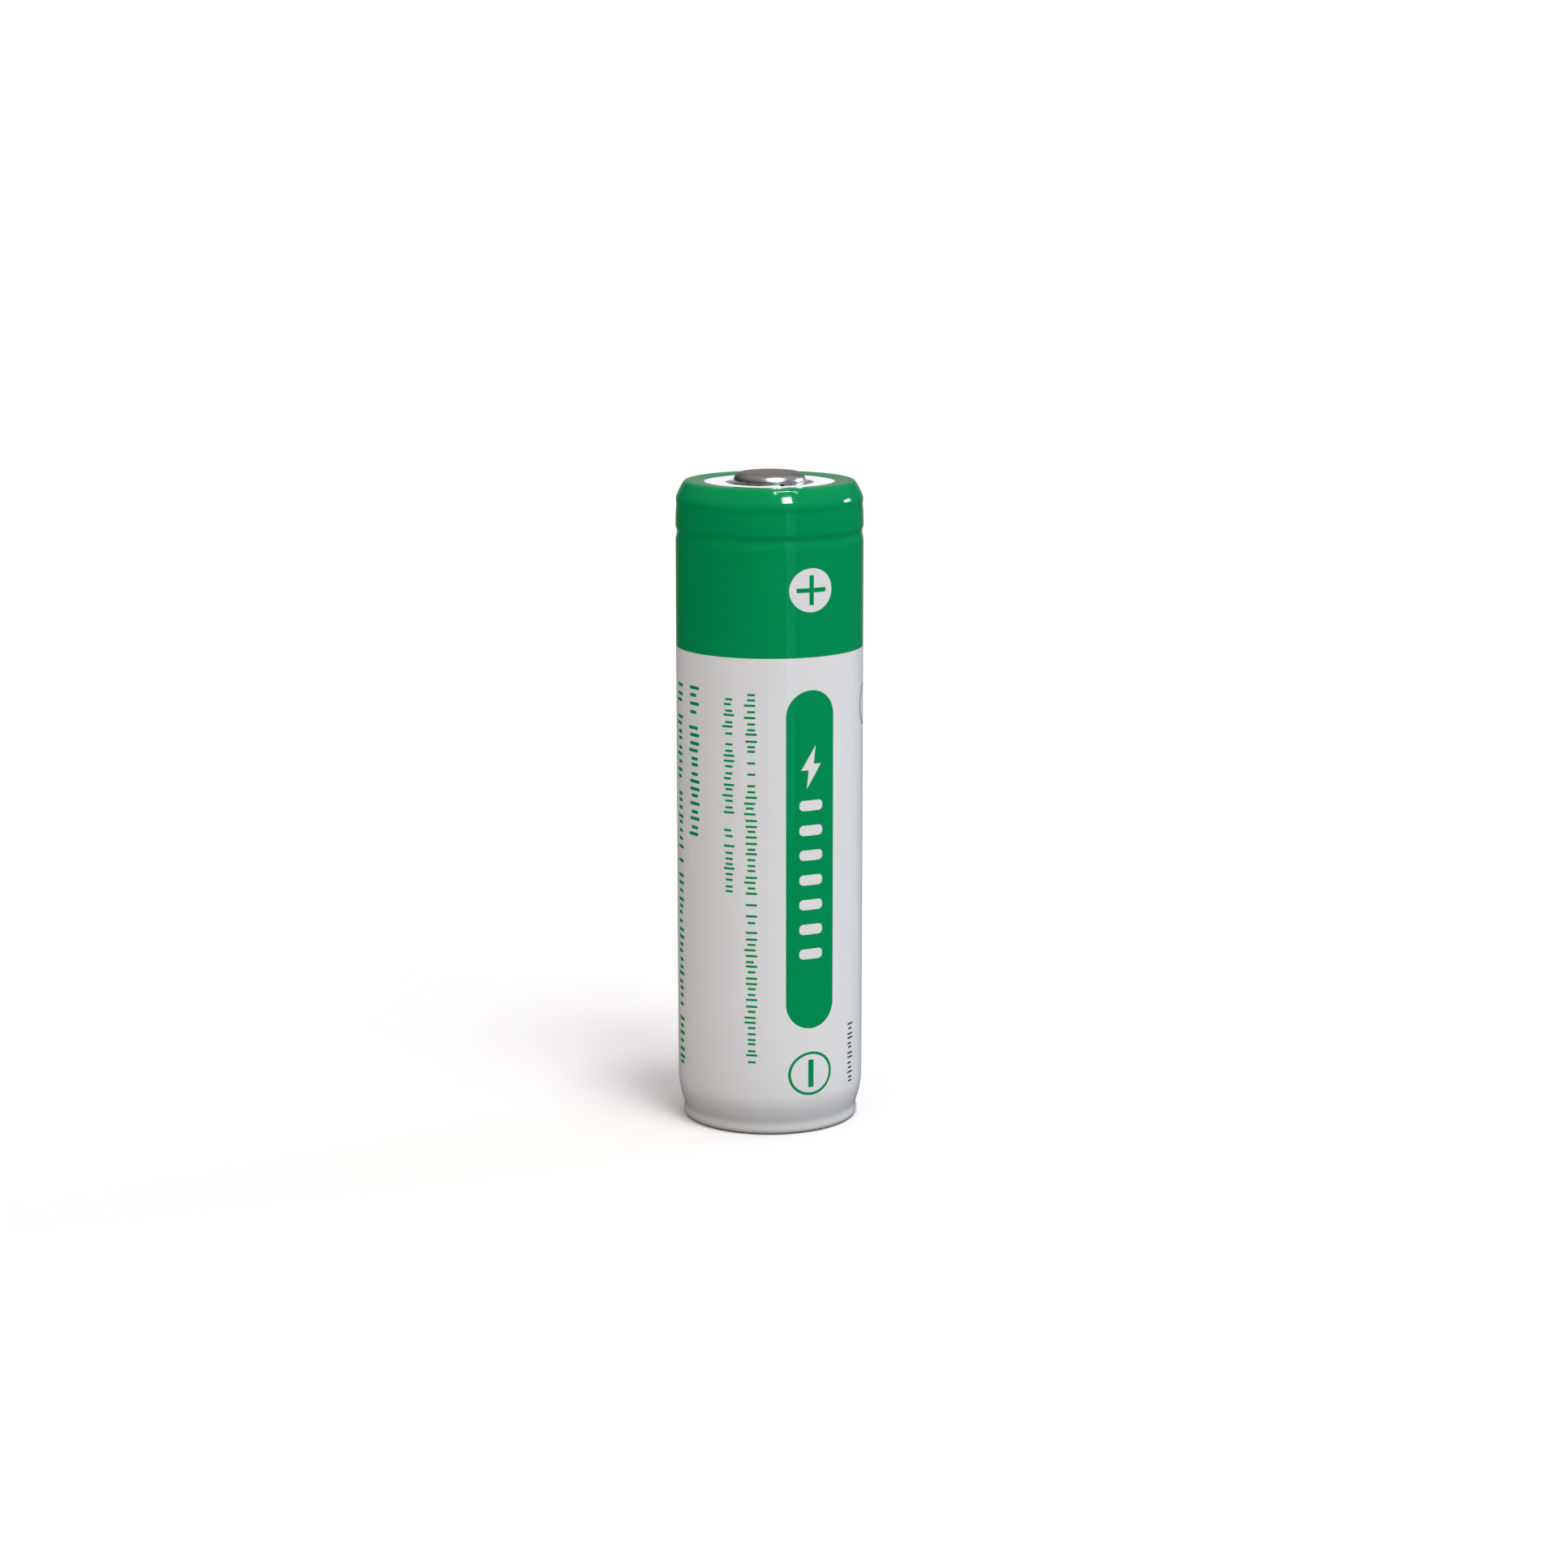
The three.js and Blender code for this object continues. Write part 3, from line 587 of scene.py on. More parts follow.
def button():
    """A stamped cap of even sheet: a domed crown, a shelf with three vents, and a foot."""
    low, high = span_mm("button_cap")
    crown = BUTTON_CROWN_RADIUS - BUTTON_FILLET
    shelf_top, shelf_radius, foot_top = 74.63, high.x - 0.6, low.z + BUTTON_SHEET
    dome = [(crown * i / 6, high.z - BUTTON_DOME * (i / 6) ** 2) for i in range(7)]
    fillet_z = high.z - BUTTON_DOME - BUTTON_FILLET
    outer = dome + arc(crown, fillet_z, BUTTON_FILLET, 86, 4, 10)
    outer += arc(BUTTON_CROWN_RADIUS + 0.2, shelf_top + 0.2, 0.2, 184, 266, 5)
    outer += arc(shelf_radius - 0.25, shelf_top - 0.25, 0.25, 90, 0, 5)
    outer += arc(shelf_radius + 0.15, foot_top + 0.15, 0.15, 180, 270, 4)
    outer += [(high.x - 0.08, foot_top), (high.x, foot_top - 0.08)]
    outer += [(high.x, low.z + 0.05), (high.x - 0.05, low.z)]
    inner_radius = shelf_radius - BUTTON_SHEET
    inner = [
        (inner_radius + 0.1, low.z), (inner_radius, low.z + 0.1),
        *arc(shelf_radius - 0.35, shelf_top - 0.35, 0.05, 0, 90, 2),
        *arc(BUTTON_CROWN_RADIUS - 0.2, shelf_top - 0.2, 0.1, 270, 184, 3),
        *arc(crown, fillet_z, BUTTON_FILLET - BUTTON_SHEET, 4, 86, 6), (0, high.z - BUTTON_SHEET),
    ]
    vent = (3.15, -0.28, shelf_top + 0.02), (5.15, 0.28, shelf_top + 0.3)
    vents = [block(*vent, BUTTON_AXIS_TURN + 120 * i) for i in range(3)]
    return combined(new_piece("button", revolved(outer + inner, FINE)), vents, "DIFFERENCE")


def contact():
    """The round plated contact under the board, coined at its edge, with a faint spun dish."""
    edge = span_mm("negative_contact")[1].x
    outline = [
        (0, 0.2), (edge - 0.03, 0.2), (edge, 0.17), *arc(edge - 0.08, 0.08, 0.08, 0, -90, 5),
        (edge - 0.5, 0), (edge - 0.62, 0.02), (edge - 0.9, 0.03), (edge - 1.05, 0), (3, 0),
        (0, 0.004),
    ]
    return new_piece("contact_disc", revolved(outline, FINE))


steel = nickel_steel()
finished(collar(), white_collar(), "collar", "top_collar")
finished(button(), steel, "nickel_steel", "button_cap")
finished(contact(), steel, "nickel_steel", "negative_contact")


# ---- Finishes for the pieces inside the sleeve ----

BOARD_EDGE = 9.94  # radius where the board's raw edge starts
COPPER_STEP = 0.4  # the copper areas have square corners on a grid of this pitch


def plated(name, dark, light, roughness):
    """Metal that was drawn, turned or coined about Z: fine rings and a cloudy plating."""
    finish = Finish(name, roughness=roughness, metallic=1)
    radius = hypotenuse(finish.x, finish.y)
    rings = finish.noise(1, detail=4, at=finish.vector(radius * 6, finish.z * 6, 0))
    cloud = finish.noise(0.6, detail=4)
    base = finish.mix((cloud * 0.65 + rings * 0.35).clamped(), dark, light)
    roughness = (rings * 0.1 + cloud * 0.1 + (roughness - 0.1)).clamped()
    return finish.done(base, roughness, rings * 0.6 + cloud * 0.4, 0.005)


def rolled_strip(name, dark, light, roughness):
    """Strip metal: fine lines along the way it was rolled, and a few pale rubs."""
    finish = Finish(name, roughness=roughness, metallic=1)
    lines = finish.noise(9, detail=4, stretch=(1, 12, 30))
    rubs = finish.noise(1.3, detail=5).apply("POWER", 4) * 5
    base = finish.mix((lines * 0.7 + rubs * 0.5).clamped(), dark, light)
    roughness = (lines * 0.15 + rubs * 0.1 + (roughness - 0.1)).clamped()
    return finish.done(base, roughness, lines, 0.003)


def fibre_card():
    """Pressed white insulating paper with a felt of short fibres."""
    finish = Finish("fibre_card", roughness=0.8, specular=0.2)
    along_x, along_y = (finish.noise(3, detail=6, stretch=s) for s in ((6, 1, 1), (1, 6, 1)))
    fibres = along_x.most(along_y)
    base = finish.mix((fibres * 2.2 - 0.7).clamped(), (0.66, 0.65, 0.60), (0.86, 0.85, 0.81))
    roughness = fibres.scaled(0.3, 0.6)
    return finish.done(base, roughness, fibres, 0.02)


def moulded(name, dark, light, roughness, grain_scale=6):
    """Moulded plastic: a fine grain, and a slow change of shade where it flowed."""
    finish = Finish(name, roughness=roughness, specular=0.4)
    flow = finish.noise(0.35, detail=3, stretch=(1, 1, 3))
    grain = finish.noise(grain_scale, detail=3)
    base = finish.mix((flow * 0.7 + grain * 0.3).clamped(), dark, light)
    roughness = (grain * 0.2 + (roughness - 0.1)).clamped()
    return finish.done(base, roughness, grain, 0.01)


def coated_foil(name, dark, light, foil, grain_scale):
    """Electrode coating: packed grains, the roller's bands, and specks of bare foil."""
    finish = Finish(name, roughness=0.75, specular=0.3)
    grains = finish.noise(grain_scale, detail=5)
    roller = finish.noise(1.2, detail=3, stretch=(14, 14, 1))
    bare = ((grains - 0.71) * 18).clamped()
    coating = finish.mix((grains * 0.6 + roller * 0.4).clamped(), dark, light)
    base = finish.mix(bare, coating, foil)
    finish.set("Metallic", bare)
    roughness = (grains * 0.25 + roller * 0.15 + 0.5).clamped()
    return finish.done(base, roughness, grains, 0.012)


def separator_film():
    """Porous white film: pores drawn out along the cell, and faint wrinkles."""
    finish = Finish("separator_film", roughness=0.55, specular=0.35)
    pores = finish.noise(14, detail=4, stretch=(1, 1, 5))
    wrinkles = finish.noise(0.9, stretch=(1, 1, 12))
    base = finish.mix(pores, (0.80, 0.81, 0.80), (0.93, 0.93, 0.92))
    roughness = pores.scaled(0.3, 0.4)
    return finish.done(base, roughness, pores * 0.4 + wrinkles, 0.01)


def spots(finish, pitch, radius):
    """1 inside scattered round spots, about a pitch apart, in millimetres."""
    cells = finish.add("TexVoronoi", {"Scale": 1 / pitch, "Vector": finish.place})
    return ((Num(finish.tree, cells.outputs["Distance"]) * -pitch + radius) * 30).clamped()


def polyimide_tape():
    """Amber film with streaks in its adhesive and small bubbles under it."""
    finish = Finish("polyimide_tape", roughness=0.25, specular=0.6)
    streaks = finish.noise(1.6, detail=4, stretch=(1, 1, 8))
    bubbles = spots(finish, 1.3, 0.12)
    amber = finish.mix(streaks, (0.42, 0.15, 0.012), (0.66, 0.28, 0.03))
    base = finish.mix(bubbles, amber, (0.78, 0.42, 0.10))
    roughness = streaks.scaled(0.2, 0.15)
    return finish.done(base, roughness, streaks * 0.5 + bubbles, 0.006)


def inner_wrap():
    """The bare cell's own thin blue wrap: cloudy, with fine lines from its shrinking."""
    finish = Finish("inner_wrap", roughness=0.3)
    lines = finish.noise(2.4, detail=4, stretch=(1, 1, 14))
    cloud = finish.noise(0.25, detail=3)
    tone = (lines * 0.4 + cloud * 0.6).clamped()
    base = finish.mix(tone, (0.25, 0.40, 0.62), (0.42, 0.56, 0.76))
    roughness = lines.scaled(0.2, 0.18)
    return finish.done(base, roughness, lines, 0.004)


def board_laminate():
    """Glass cloth under green mask, copper areas, small vias, and raw cloth at the edge."""
    finish = Finish("board_laminate", roughness=0.35)
    weave = ((finish.x * 9).apply("SINE") * 0.5 + 0.5) * ((finish.y * 9).apply("SINE") * 0.5 + 0.5)
    speckle = finish.noise(5, detail=4)
    x, y = ((axis / COPPER_STEP).apply("FLOOR") * COPPER_STEP for axis in (finish.x, finish.y))
    stepped = finish.vector(x, y, 0)
    copper = ((finish.noise(0.4, detail=1, at=stepped) - 0.5) * 60).clamped()
    vias = spots(finish, 1.5, 0.14)
    edge = ((hypotenuse(finish.x, finish.y) - BOARD_EDGE) * 40).clamped()
    share = (weave * 0.4 + speckle * 0.6).clamped()
    mask = finish.mix(share, (0.004, 0.085, 0.022), (0.012, 0.14, 0.04))
    areas = finish.mix(copper * 0.8, mask, (0.02, 0.20, 0.055))
    drilled = finish.mix(vias, areas, (0.46, 0.42, 0.30))
    cloth = finish.mix(speckle, (0.30, 0.27, 0.13), (0.52, 0.47, 0.26))
    base = finish.mix(edge, drilled, cloth)
    roughness = (speckle * 0.2 + edge * 0.4 + 0.2).clamped()
    return finish.done(base, roughness, weave * 0.2 + copper * 0.5 + vias * 0.3, 0.02)


def tinned(name, dark, light, is_metal):
    """A small electronic part: a grainy body, and tin where is_metal(finish) is 1."""
    finish = Finish(name, roughness=0.4)
    grain = finish.noise(11, detail=4)
    metal = is_metal(finish)
    body = finish.mix(grain, dark, light)
    tin = finish.mix(grain, (0.50, 0.49, 0.47), (0.72, 0.71, 0.68))
    base = finish.mix(metal, body, tin)
    finish.set("Metallic", metal)
    roughness = grain.scaled(0.3, 0.25)
    return finish.done(base, roughness, grain, 0.012)


def beyond(value, limit):
    """1 where a value is over its limit, with a narrow soft edge."""
    return ((value - limit) * 60).clamped()


# ---- Shapes of the pieces inside the sleeve ----

TERMINAL_TOP = 73
CAN_BASE, CAN_RADIUS, CAN_WALL, CAN_FLOOR, CAN_CORNER = 3, 10.43, 0.25, 0.4, 1
RIM_RADIUS, CRIMP_TOP, CRIMP_LIP, CRIMP_ROUND = 10.33, 72.55, 8.55, 0.7
BEAD_CENTRE, BEAD_DEPTH, BEAD_HALF_HEIGHT = 69.3, 1.05, 0.72
WRAP_GAP, WRAP_FILM = 0.08, 0.07
HEADER_RADIUS = 9.5
BOARD_TOP = 1.04
END_CAP = 0.35  # length of the tinned end of a small component
CORE_RADIUS, TURNS, TURN_PITCH, FACETS_PER_TURN = 1.75, 7, 1.03125, 64
BASE_ARC = CAN_RADIUS - CAN_CORNER, CAN_BASE + CAN_CORNER  # middle of the can's base corner
RIM_ARC = RIM_RADIUS - CRIMP_ROUND, CRIMP_TOP - CRIMP_ROUND  # middle of the round of the crimp
SHEETS = {  # gap inside each sheet of the winding and its thickness
    "separator_inner": (0, 0.04),
    "anode_sheet": (0.0603, 0.45),
    "separator_outer": (0.5306, 0.04),
    "cathode_sheet": (0.5909, 0.42),
}


def turned(name, outline, corner=0.04):
    """A solid of revolution with slightly rounded corners."""
    return new_piece(name, revolved(rounded(outline, corner), 144))


def slab(name, node, inner=0):
    """A flat disc in the place of a CAD node, or a ring if the inner radius isn't 0."""
    low, high = span_mm(node)
    return turned(name, [(inner, low.z), (high.x, low.z), (high.x, high.z), (inner, high.z)])


def slotted(name, node, inner, slot_low, slot_high, bevel):
    """A slab with a slot through it, between two corners (x, y)."""
    low, high = span_mm(node)
    slot = block((*slot_low, low.z - 1), (*slot_high, high.z + 1), bevel=bevel)
    return combined(slab(name, node, inner), [slot], "DIFFERENCE")


def bead_line(wall_radius, upper_radius, depth, half_height, steps):
    """The bead rolled into a wall, from below it to above it."""
    line = []
    for i in range(steps + 1):
        share = i / steps
        sink = depth * (1 - math.cos(2 * math.pi * share)) / 2
        radius = wall_radius + (upper_radius - wall_radius) * share - sink
        line.append(Vector((radius, BEAD_CENTRE + half_height * (2 * share - 1))))
    return line


def can_shell():
    """The drawn can: rounded base corner, rolled bead, and the rim crimped over the gasket."""
    floor_angle = math.degrees(math.asin((CAN_CORNER - CAN_FLOOR) / (CAN_CORNER - CAN_WALL)))
    inner_radii = CAN_RADIUS - CAN_WALL, RIM_RADIUS - CAN_WALL
    outline = [
        (0, CAN_BASE),
        *arc(*BASE_ARC, CAN_CORNER, -90, 0, 8),
        *bead_line(CAN_RADIUS, RIM_RADIUS, BEAD_DEPTH, BEAD_HALF_HEIGHT, 24),
        *arc(*RIM_ARC, CRIMP_ROUND, 0, 90, 8),
        (CRIMP_LIP + 0.05, CRIMP_TOP - 0.12), (CRIMP_LIP, CRIMP_TOP - 0.17),
        (CRIMP_LIP, CRIMP_TOP - 0.12 - CAN_WALL),
        *arc(*RIM_ARC, CRIMP_ROUND - CAN_WALL, 90, 0, 8),
        *reversed(bead_line(*inner_radii, BEAD_DEPTH, BEAD_HALF_HEIGHT + CAN_WALL, 24)),
        *arc(*BASE_ARC, CAN_CORNER - CAN_WALL, 0, -floor_angle, 6),
        (0, CAN_BASE + CAN_FLOOR),
    ]
    return new_piece("can_shell", revolved(outline, FINE))


def wrap_tube():
    """The bare cell's wrap, from under the can's corner to the washer."""
    washer_top = span_mm("rim_washer")[1].z
    line = [
        Vector((8.9, CAN_BASE - WRAP_GAP)),
        *arc(*BASE_ARC, CAN_CORNER + WRAP_GAP, -90, 0, 8),
        *bead_line(CAN_RADIUS + WRAP_GAP, RIM_RADIUS + WRAP_GAP, 0.3, BEAD_HALF_HEIGHT, 16),
        *arc(RIM_RADIUS - 0.6, CRIMP_TOP - 0.4, 0.6 + WRAP_GAP, 0, 60, 6),
        Vector((9.8, washer_top + WRAP_GAP)),
        Vector((8.4, washer_top + WRAP_GAP)),
    ]
    inner = [p - n * WRAP_FILM for p, n in zip(line, normals_of(line))]
    return new_piece("inner_wrap", revolved(line + inner[::-1], FINE), sharp=50)


def gasket_seal():
    low, high = span_mm("gasket")
    flange, bore = low.z + 0.44, HEADER_RADIUS + 0.02
    return turned("gasket_seal", [
        (8.95, low.z), (high.x - 0.13, low.z), (high.x, low.z + 0.25), (high.x, 71.7), (9.6, high.z),
        (8.6, high.z), (8.6, high.z - 0.3), (bore, high.z - 0.3), (bore, flange), (8.95, flange),
    ])


def vent():
    """A flat rim, a dished web with a score line, and a centre that hangs down to the plate."""
    low, high = span_mm("vent_disc")
    top, rim_base = high.z, high.z - 0.3
    return turned("vent_dish", [
        (0, top - 0.8), (1.9, top - 0.8), (4.4, top - 0.34), (4.65, top - 0.42), (4.9, top - 0.26),
        (6.4, top), (high.x, top), (high.x, rim_base), (6.4, rim_base), (4.4, rim_base - 0.28),
        (1.9, low.z), (0, low.z),
    ], 0.1)


def terminal():
    """The bare cell's flat cap, with four openings in its shoulder."""
    low, high = span_mm("terminal_cap")
    sheet, dome = 0.45, 6
    cap = turned("terminal_dome", [
        (0, high.z), (dome - 0.25, high.z), (dome, high.z - 0.2), (dome + 0.35, low.z + sheet),
        (high.x, low.z + sheet), (high.x, low.z), (dome, low.z), (dome - 0.45, high.z - sheet),
        (0, high.z - sheet),
    ], 0.12)
    opening = (5, -1.5, low.z + sheet), (7, 1.5, high.z - sheet)
    openings = [block(*opening, 45 + 90 * i, bevel=0.2) for i in range(4)]
    return combined(cap, openings, "DIFFERENCE")


def weld_plate():
    low, high = span_mm("cid_weld_plate")
    peg = [(0, low.z - 1), (0.8, low.z - 1), (0.8, high.z + 1), (0, high.z + 1)]
    holes = []
    for i in range(6):
        hole = new_piece("hole", revolved(peg, 31))
        for vertex in hole.data.vertices:
            vertex.co += Vector((*spun(4.6, 0, 60 * i), 0)) * MM
        holes.append(hole)
    return combined(slab("weld_plate", "cid_weld_plate"), holes, "DIFFERENCE")


def grid_piece(name, sections, sharp=SHARP):
    """A closed skin through a row of loops in millimetres, with capped ends."""
    bm = bmesh.new()
    rings = [[bm.verts.new(Vector(point) * MM) for point in section] for section in sections]
    for before, after in zip(rings, rings[1:]):
        for j in range(len(before)):
            bm.faces.new((before[j - 1], before[j], after[j], after[j - 1]))
    bm.faces.new(rings[0])
    bm.faces.new(rings[-1][::-1])
    return new_piece(name, bm, sharp)


def wound(name, node):
    """One sheet of the winding, as a spiral band."""
    low, high = span_mm(node)
    gap, thickness = SHEETS[node]
    edge = min(0.04, thickness / 4)
    sections = []
    for i in range(TURNS * FACETS_PER_TURN + 1):
        turns = i / FACETS_PER_TURN + 1 / 32
        inner = CORE_RADIUS + TURN_PITCH * turns + gap
        outer = inner + thickness
        corners = [
            (inner + edge, low.z), (outer - edge, low.z), (outer, low.z + edge), (outer, high.z - edge),
            (outer - edge, high.z), (inner + edge, high.z), (inner, high.z - edge), (inner, low.z + edge),
        ]
        angle = 2 * math.pi * turns
        sections.append([(r * math.cos(angle), r * math.sin(angle), z) for r, z in corners])
    return grid_piece(name, sections)


def band(name, line, thickness, start, end, steps):
    """Part of a thin turned band, from its outer line. Angles run from +X towards +Y, in degrees."""
    line = [Vector(p) for p in line]
    loop = line + [p - n * thickness for p, n in zip(line, normals_of(line))][::-1]
    sections = []
    for i in range(steps + 1):
        angle = start + (end - start) * i / steps
        sections.append([(*spun(p.x, 0, angle), p.y) for p in loop])
    return grid_piece(name, sections)


def bent(points, radius):
    """An open path with its bends rounded."""
    line = [Vector(points[0])]
    for before, corner, after in zip(points, points[1:], points[2:]):
        line += round_corner(before, corner, after, radius, 0.45)
    return [*line, Vector(points[-1])]


def ribbon(name, path, width, thickness=0.1, radius=0.2, wrap=False, turn=0, shift=(0, 0)):
    """A metal strip. Before it is turned and shifted, its path is (distance along +Y, z) and its width
    lies along X. With wrap, each point keeps its distance from the axis."""
    line = bent(path, radius)
    columns = 12 if wrap else 2
    across = [width * (i / columns - 0.5) for i in range(columns + 1)]
    half = thickness / 2
    sections = []
    for p, n in zip(line, normals_of(line)):
        loop = [(x, p + n * half) for x in across] + [(x, p - n * half) for x in across[::-1]]
        section = []
        for x, q in loop:
            y = math.sqrt(q.x ** 2 - x ** 2) if wrap else q.x
            x, y = spun(x, y, turn)
            section.append((x + shift[0], y + shift[1], q.y))
        sections.append(section)
    return grid_piece(name, sections, sharp=60)


def tabs_and_leads():
    """The strips of metal: positive and negative tab, then positive and negative lead."""
    plate = span_mm("cid_weld_plate")[0].z
    cathode_top, cathode = span_mm("positive_tab")[0].z, span_mm("positive_tab")[1].y - 0.05
    anode_base, anode = span_mm("negative_tab")[1].z, span_mm("negative_tab")[1].y - 0.03
    on_floor, on_board, on_terminal = CAN_BASE + CAN_FLOOR + 0.08, BOARD_TOP + 0.07, TERMINAL_TOP + 0.07
    yield ribbon("cathode_tab", [
        (cathode, cathode_top), (cathode, 68.5), (cathode - 0.3, 68.75), (1.5, plate - 0.12),
        (-1.5, plate - 0.08),
    ], 2)
    yield ribbon("anode_tab", [
        (anode, anode_base), (anode, 3.9), (anode - 0.2, 3.75), (2, 3.75), (1.2, on_floor),
        (-1.4, on_floor),
    ], 2)
    yield ribbon("side_lead", [
        (5, on_terminal), (10.15, on_terminal), (10.45, 72.85), (10.53, 72.5), (10.53, 70.3),
        (10.5, BEAD_CENTRE), (10.63, 68.66), (10.63, 4.4), (10.575, 3.8), (10.4, 3.2), (10.08, 2.6),
        (9.8, 2.1), (9.75, BOARD_TOP + 0.16), (9.6, on_board), (8.5, on_board),
    ], 2 * LEAD_HALF, radius=0.3, wrap=True)
    yield ribbon("board_lead", [
        (6.6, on_board), (5.2, on_board), (5, BOARD_TOP + 0.25), (5, CAN_BASE - 0.25),
        (4.8, CAN_BASE - 0.07), (1.6, CAN_BASE - 0.07),
    ], 2.8, turn=180)


def chip(name, node, body_width, body_depth, legs_per_side, leg_pitch):
    """A moulded package with bent legs on both its long sides."""
    low, high = span_mm(node)
    x, y = (low.x + high.x) / 2, (low.y + high.y) / 2
    half, rise = body_depth / 2, (high.z - low.z) / 2
    corner = (x - body_width / 2, y - half, low.z + 0.1)
    body = block(corner, (x + body_width / 2, y + half, high.z), bevel=0.08, name=name)
    path = [(half - 0.2, rise), (half + 0.35, rise), (half + 0.5, 0.06), (half + 1, 0.06)]
    path = [(out, height + low.z) for out, height in path]
    legs = []
    for i in range(legs_per_side):
        along = (i - (legs_per_side - 1) / 2) * leg_pitch
        for turn in (0, 180):
            legs.append(ribbon(f"leg_{len(legs)}", path, 0.25, 0.12, 0.1, turn=turn, shift=(x + along, y)))
    return combined(body, legs, "UNION")


def end_capped(name, node):
    """A small brick of a component between two tinned ends."""
    low, high = span_mm(node)
    inset = Vector((0.1, 0.03, 0.03))
    body = block(low + inset, high - inset, bevel=0.04, name=name)
    ends = [
        block(low, (low.x + END_CAP, high.y, high.z), bevel=0.06, name="low_end"),
        block((high.x - END_CAP, low.y, low.z), high, bevel=0.06, name="high_end"),
    ]
    return combined(body, ends, "UNION")


# ---- Pieces inside the sleeve ----

card = fibre_card()
drawn_steel = plated("drawn_steel", (0.33, 0.32, 0.305), (0.54, 0.525, 0.50), 0.3)
bright_aluminium = plated("bright_aluminium", (0.62, 0.62, 0.63), (0.80, 0.80, 0.81), 0.35)
aluminium_strip = rolled_strip("aluminium_strip", (0.60, 0.60, 0.61), (0.82, 0.82, 0.83), 0.35)
nickel_strip = rolled_strip("nickel_strip", (0.42, 0.40, 0.36), (0.63, 0.60, 0.55), 0.32)
polypropylene = moulded("polypropylene", (0.70, 0.69, 0.62), (0.83, 0.82, 0.76), 0.45)
grey_polymer = moulded("grey_polymer", (0.030, 0.031, 0.034), (0.065, 0.066, 0.070), 0.6)
anode_coating = coated_foil(
    "anode_coating", (0.022, 0.020, 0.019), (0.060, 0.055, 0.052), foil=(0.72, 0.36, 0.20), grain_scale=7
)
cathode_coating = coated_foil(
    "cathode_coating", (0.010, 0.010, 0.012), (0.034, 0.034, 0.038), foil=(0.75, 0.75, 0.76), grain_scale=11
)
separator = separator_film()
amber = polyimide_tape()

finished(can_shell(), drawn_steel, "nickel_steel", "steel_can")
finished(terminal(), drawn_steel, "nickel_steel", "terminal_cap")
finished(wrap_tube(), inner_wrap(), "inner_film", "cell_wrap")
finished(gasket_seal(), polypropylene, "insulator", "gasket")
finished(vent(), bright_aluminium, "aluminium", "vent_disc")
finished(weld_plate(), bright_aluminium, "aluminium", "cid_weld_plate")
tab_y = span_mm("positive_tab")[1].y - 0.05
upper_card = slotted("upper_card", "top_insulator", 1.8, (-1.5, tab_y - 0.45), (1.5, tab_y + 0.45), 0.1)
finished(upper_card, card, "insulator", "top_insulator")
base_card = slotted("base_card", "base_insulator", 0, (-2, -5.2), (2, -0.8), 0.3)
finished(base_card, card, "insulator", "base_insulator")
carrier_ring = slotted("carrier_ring", "board_carrier", 9.25, (-LEAD_SLOT, 8.5), (LEAD_SLOT, 11.5), 0.15)
finished(carrier_ring, grey_polymer, "grey_polymer", "board_carrier")
for name, node, inner_radius, material, slot in (
    ("crimp_washer", "rim_washer", 6.4, card, "insulator"),
    ("thermistor_ring", "ptc_ring", 6.6, grey_polymer, "grey_polymer"),
    ("header_spacer", "cid_insulator_ring", 6.7, polypropylene, "insulator"),
    ("lower_card", "bottom_insulator", 2.4, card, "insulator"),
    ("board_disc", "circuit_board", 0, board_laminate(), "laminate"),
):
    finished(slab(name, node, inner_radius), material, slot, node)

for name, node, material, slot in (
    ("inner_separator", "separator_inner", separator, "separator"),
    ("anode_spiral", "anode_sheet", anode_coating, "anode"),
    ("outer_separator", "separator_outer", separator, "separator"),
    ("cathode_spiral", "cathode_sheet", cathode_coating, "cathode"),
):
    finished(wound(name, node), material, slot, node)

tape_low, tape_high = span_mm("roll_closing_tape")
closing_line = [(tape_high.x, tape_low.z), (tape_high.x, tape_high.z)]
finished(band("closing_tape", closing_line, 0.05, 0, 100, 40), amber, "amber_tape", "roll_closing_tape")
over_bead = bent([(10.57, 4.6), (10.57, 68.68), (10.44, BEAD_CENTRE), (10.47, 70.3), (10.47, 71.6)], 0.3)
finished(band("side_tape", over_bead, 0.05, 67, 113, 24), amber, "amber_tape", "lead_tape")

strips = tabs_and_leads()
finished(next(strips), aluminium_strip, "aluminium", "positive_tab")
for node in ("negative_tab", "positive_lead", "negative_lead"):
    finished(next(strips), nickel_strip, "nickel_strip", node)

SWITCH_BODY, CONTROL_BODY = (3, 4.4), (2.9, 1.6)  # width along x and depth along y
BARE_HALF = 0.8 - END_CAP  # half the length between a small component's tinned ends
moulding = ((0.008, 0.008, 0.009), (0.035, 0.035, 0.038))
switch_y = middle_mm("mosfet_left").y
control_y = middle_mm("protection_ic").y
switch = tinned("switch_package", *moulding, lambda f: beyond(abs(f.y - switch_y), 2.21))
control = tinned("control_package", *moulding, lambda f: beyond(abs(f.y - control_y), 0.81))
for name, node, body, legs_per_side, leg_pitch, material in (
    ("left_switch", "mosfet_left", SWITCH_BODY, 4, 0.65, switch),
    ("right_switch", "mosfet_right", SWITCH_BODY, 4, 0.65, switch),
    ("control_chip", "protection_ic", CONTROL_BODY, 3, 0.95, control),
):
    finished(chip(name, node, *body, legs_per_side, leg_pitch), material, "chip", node)

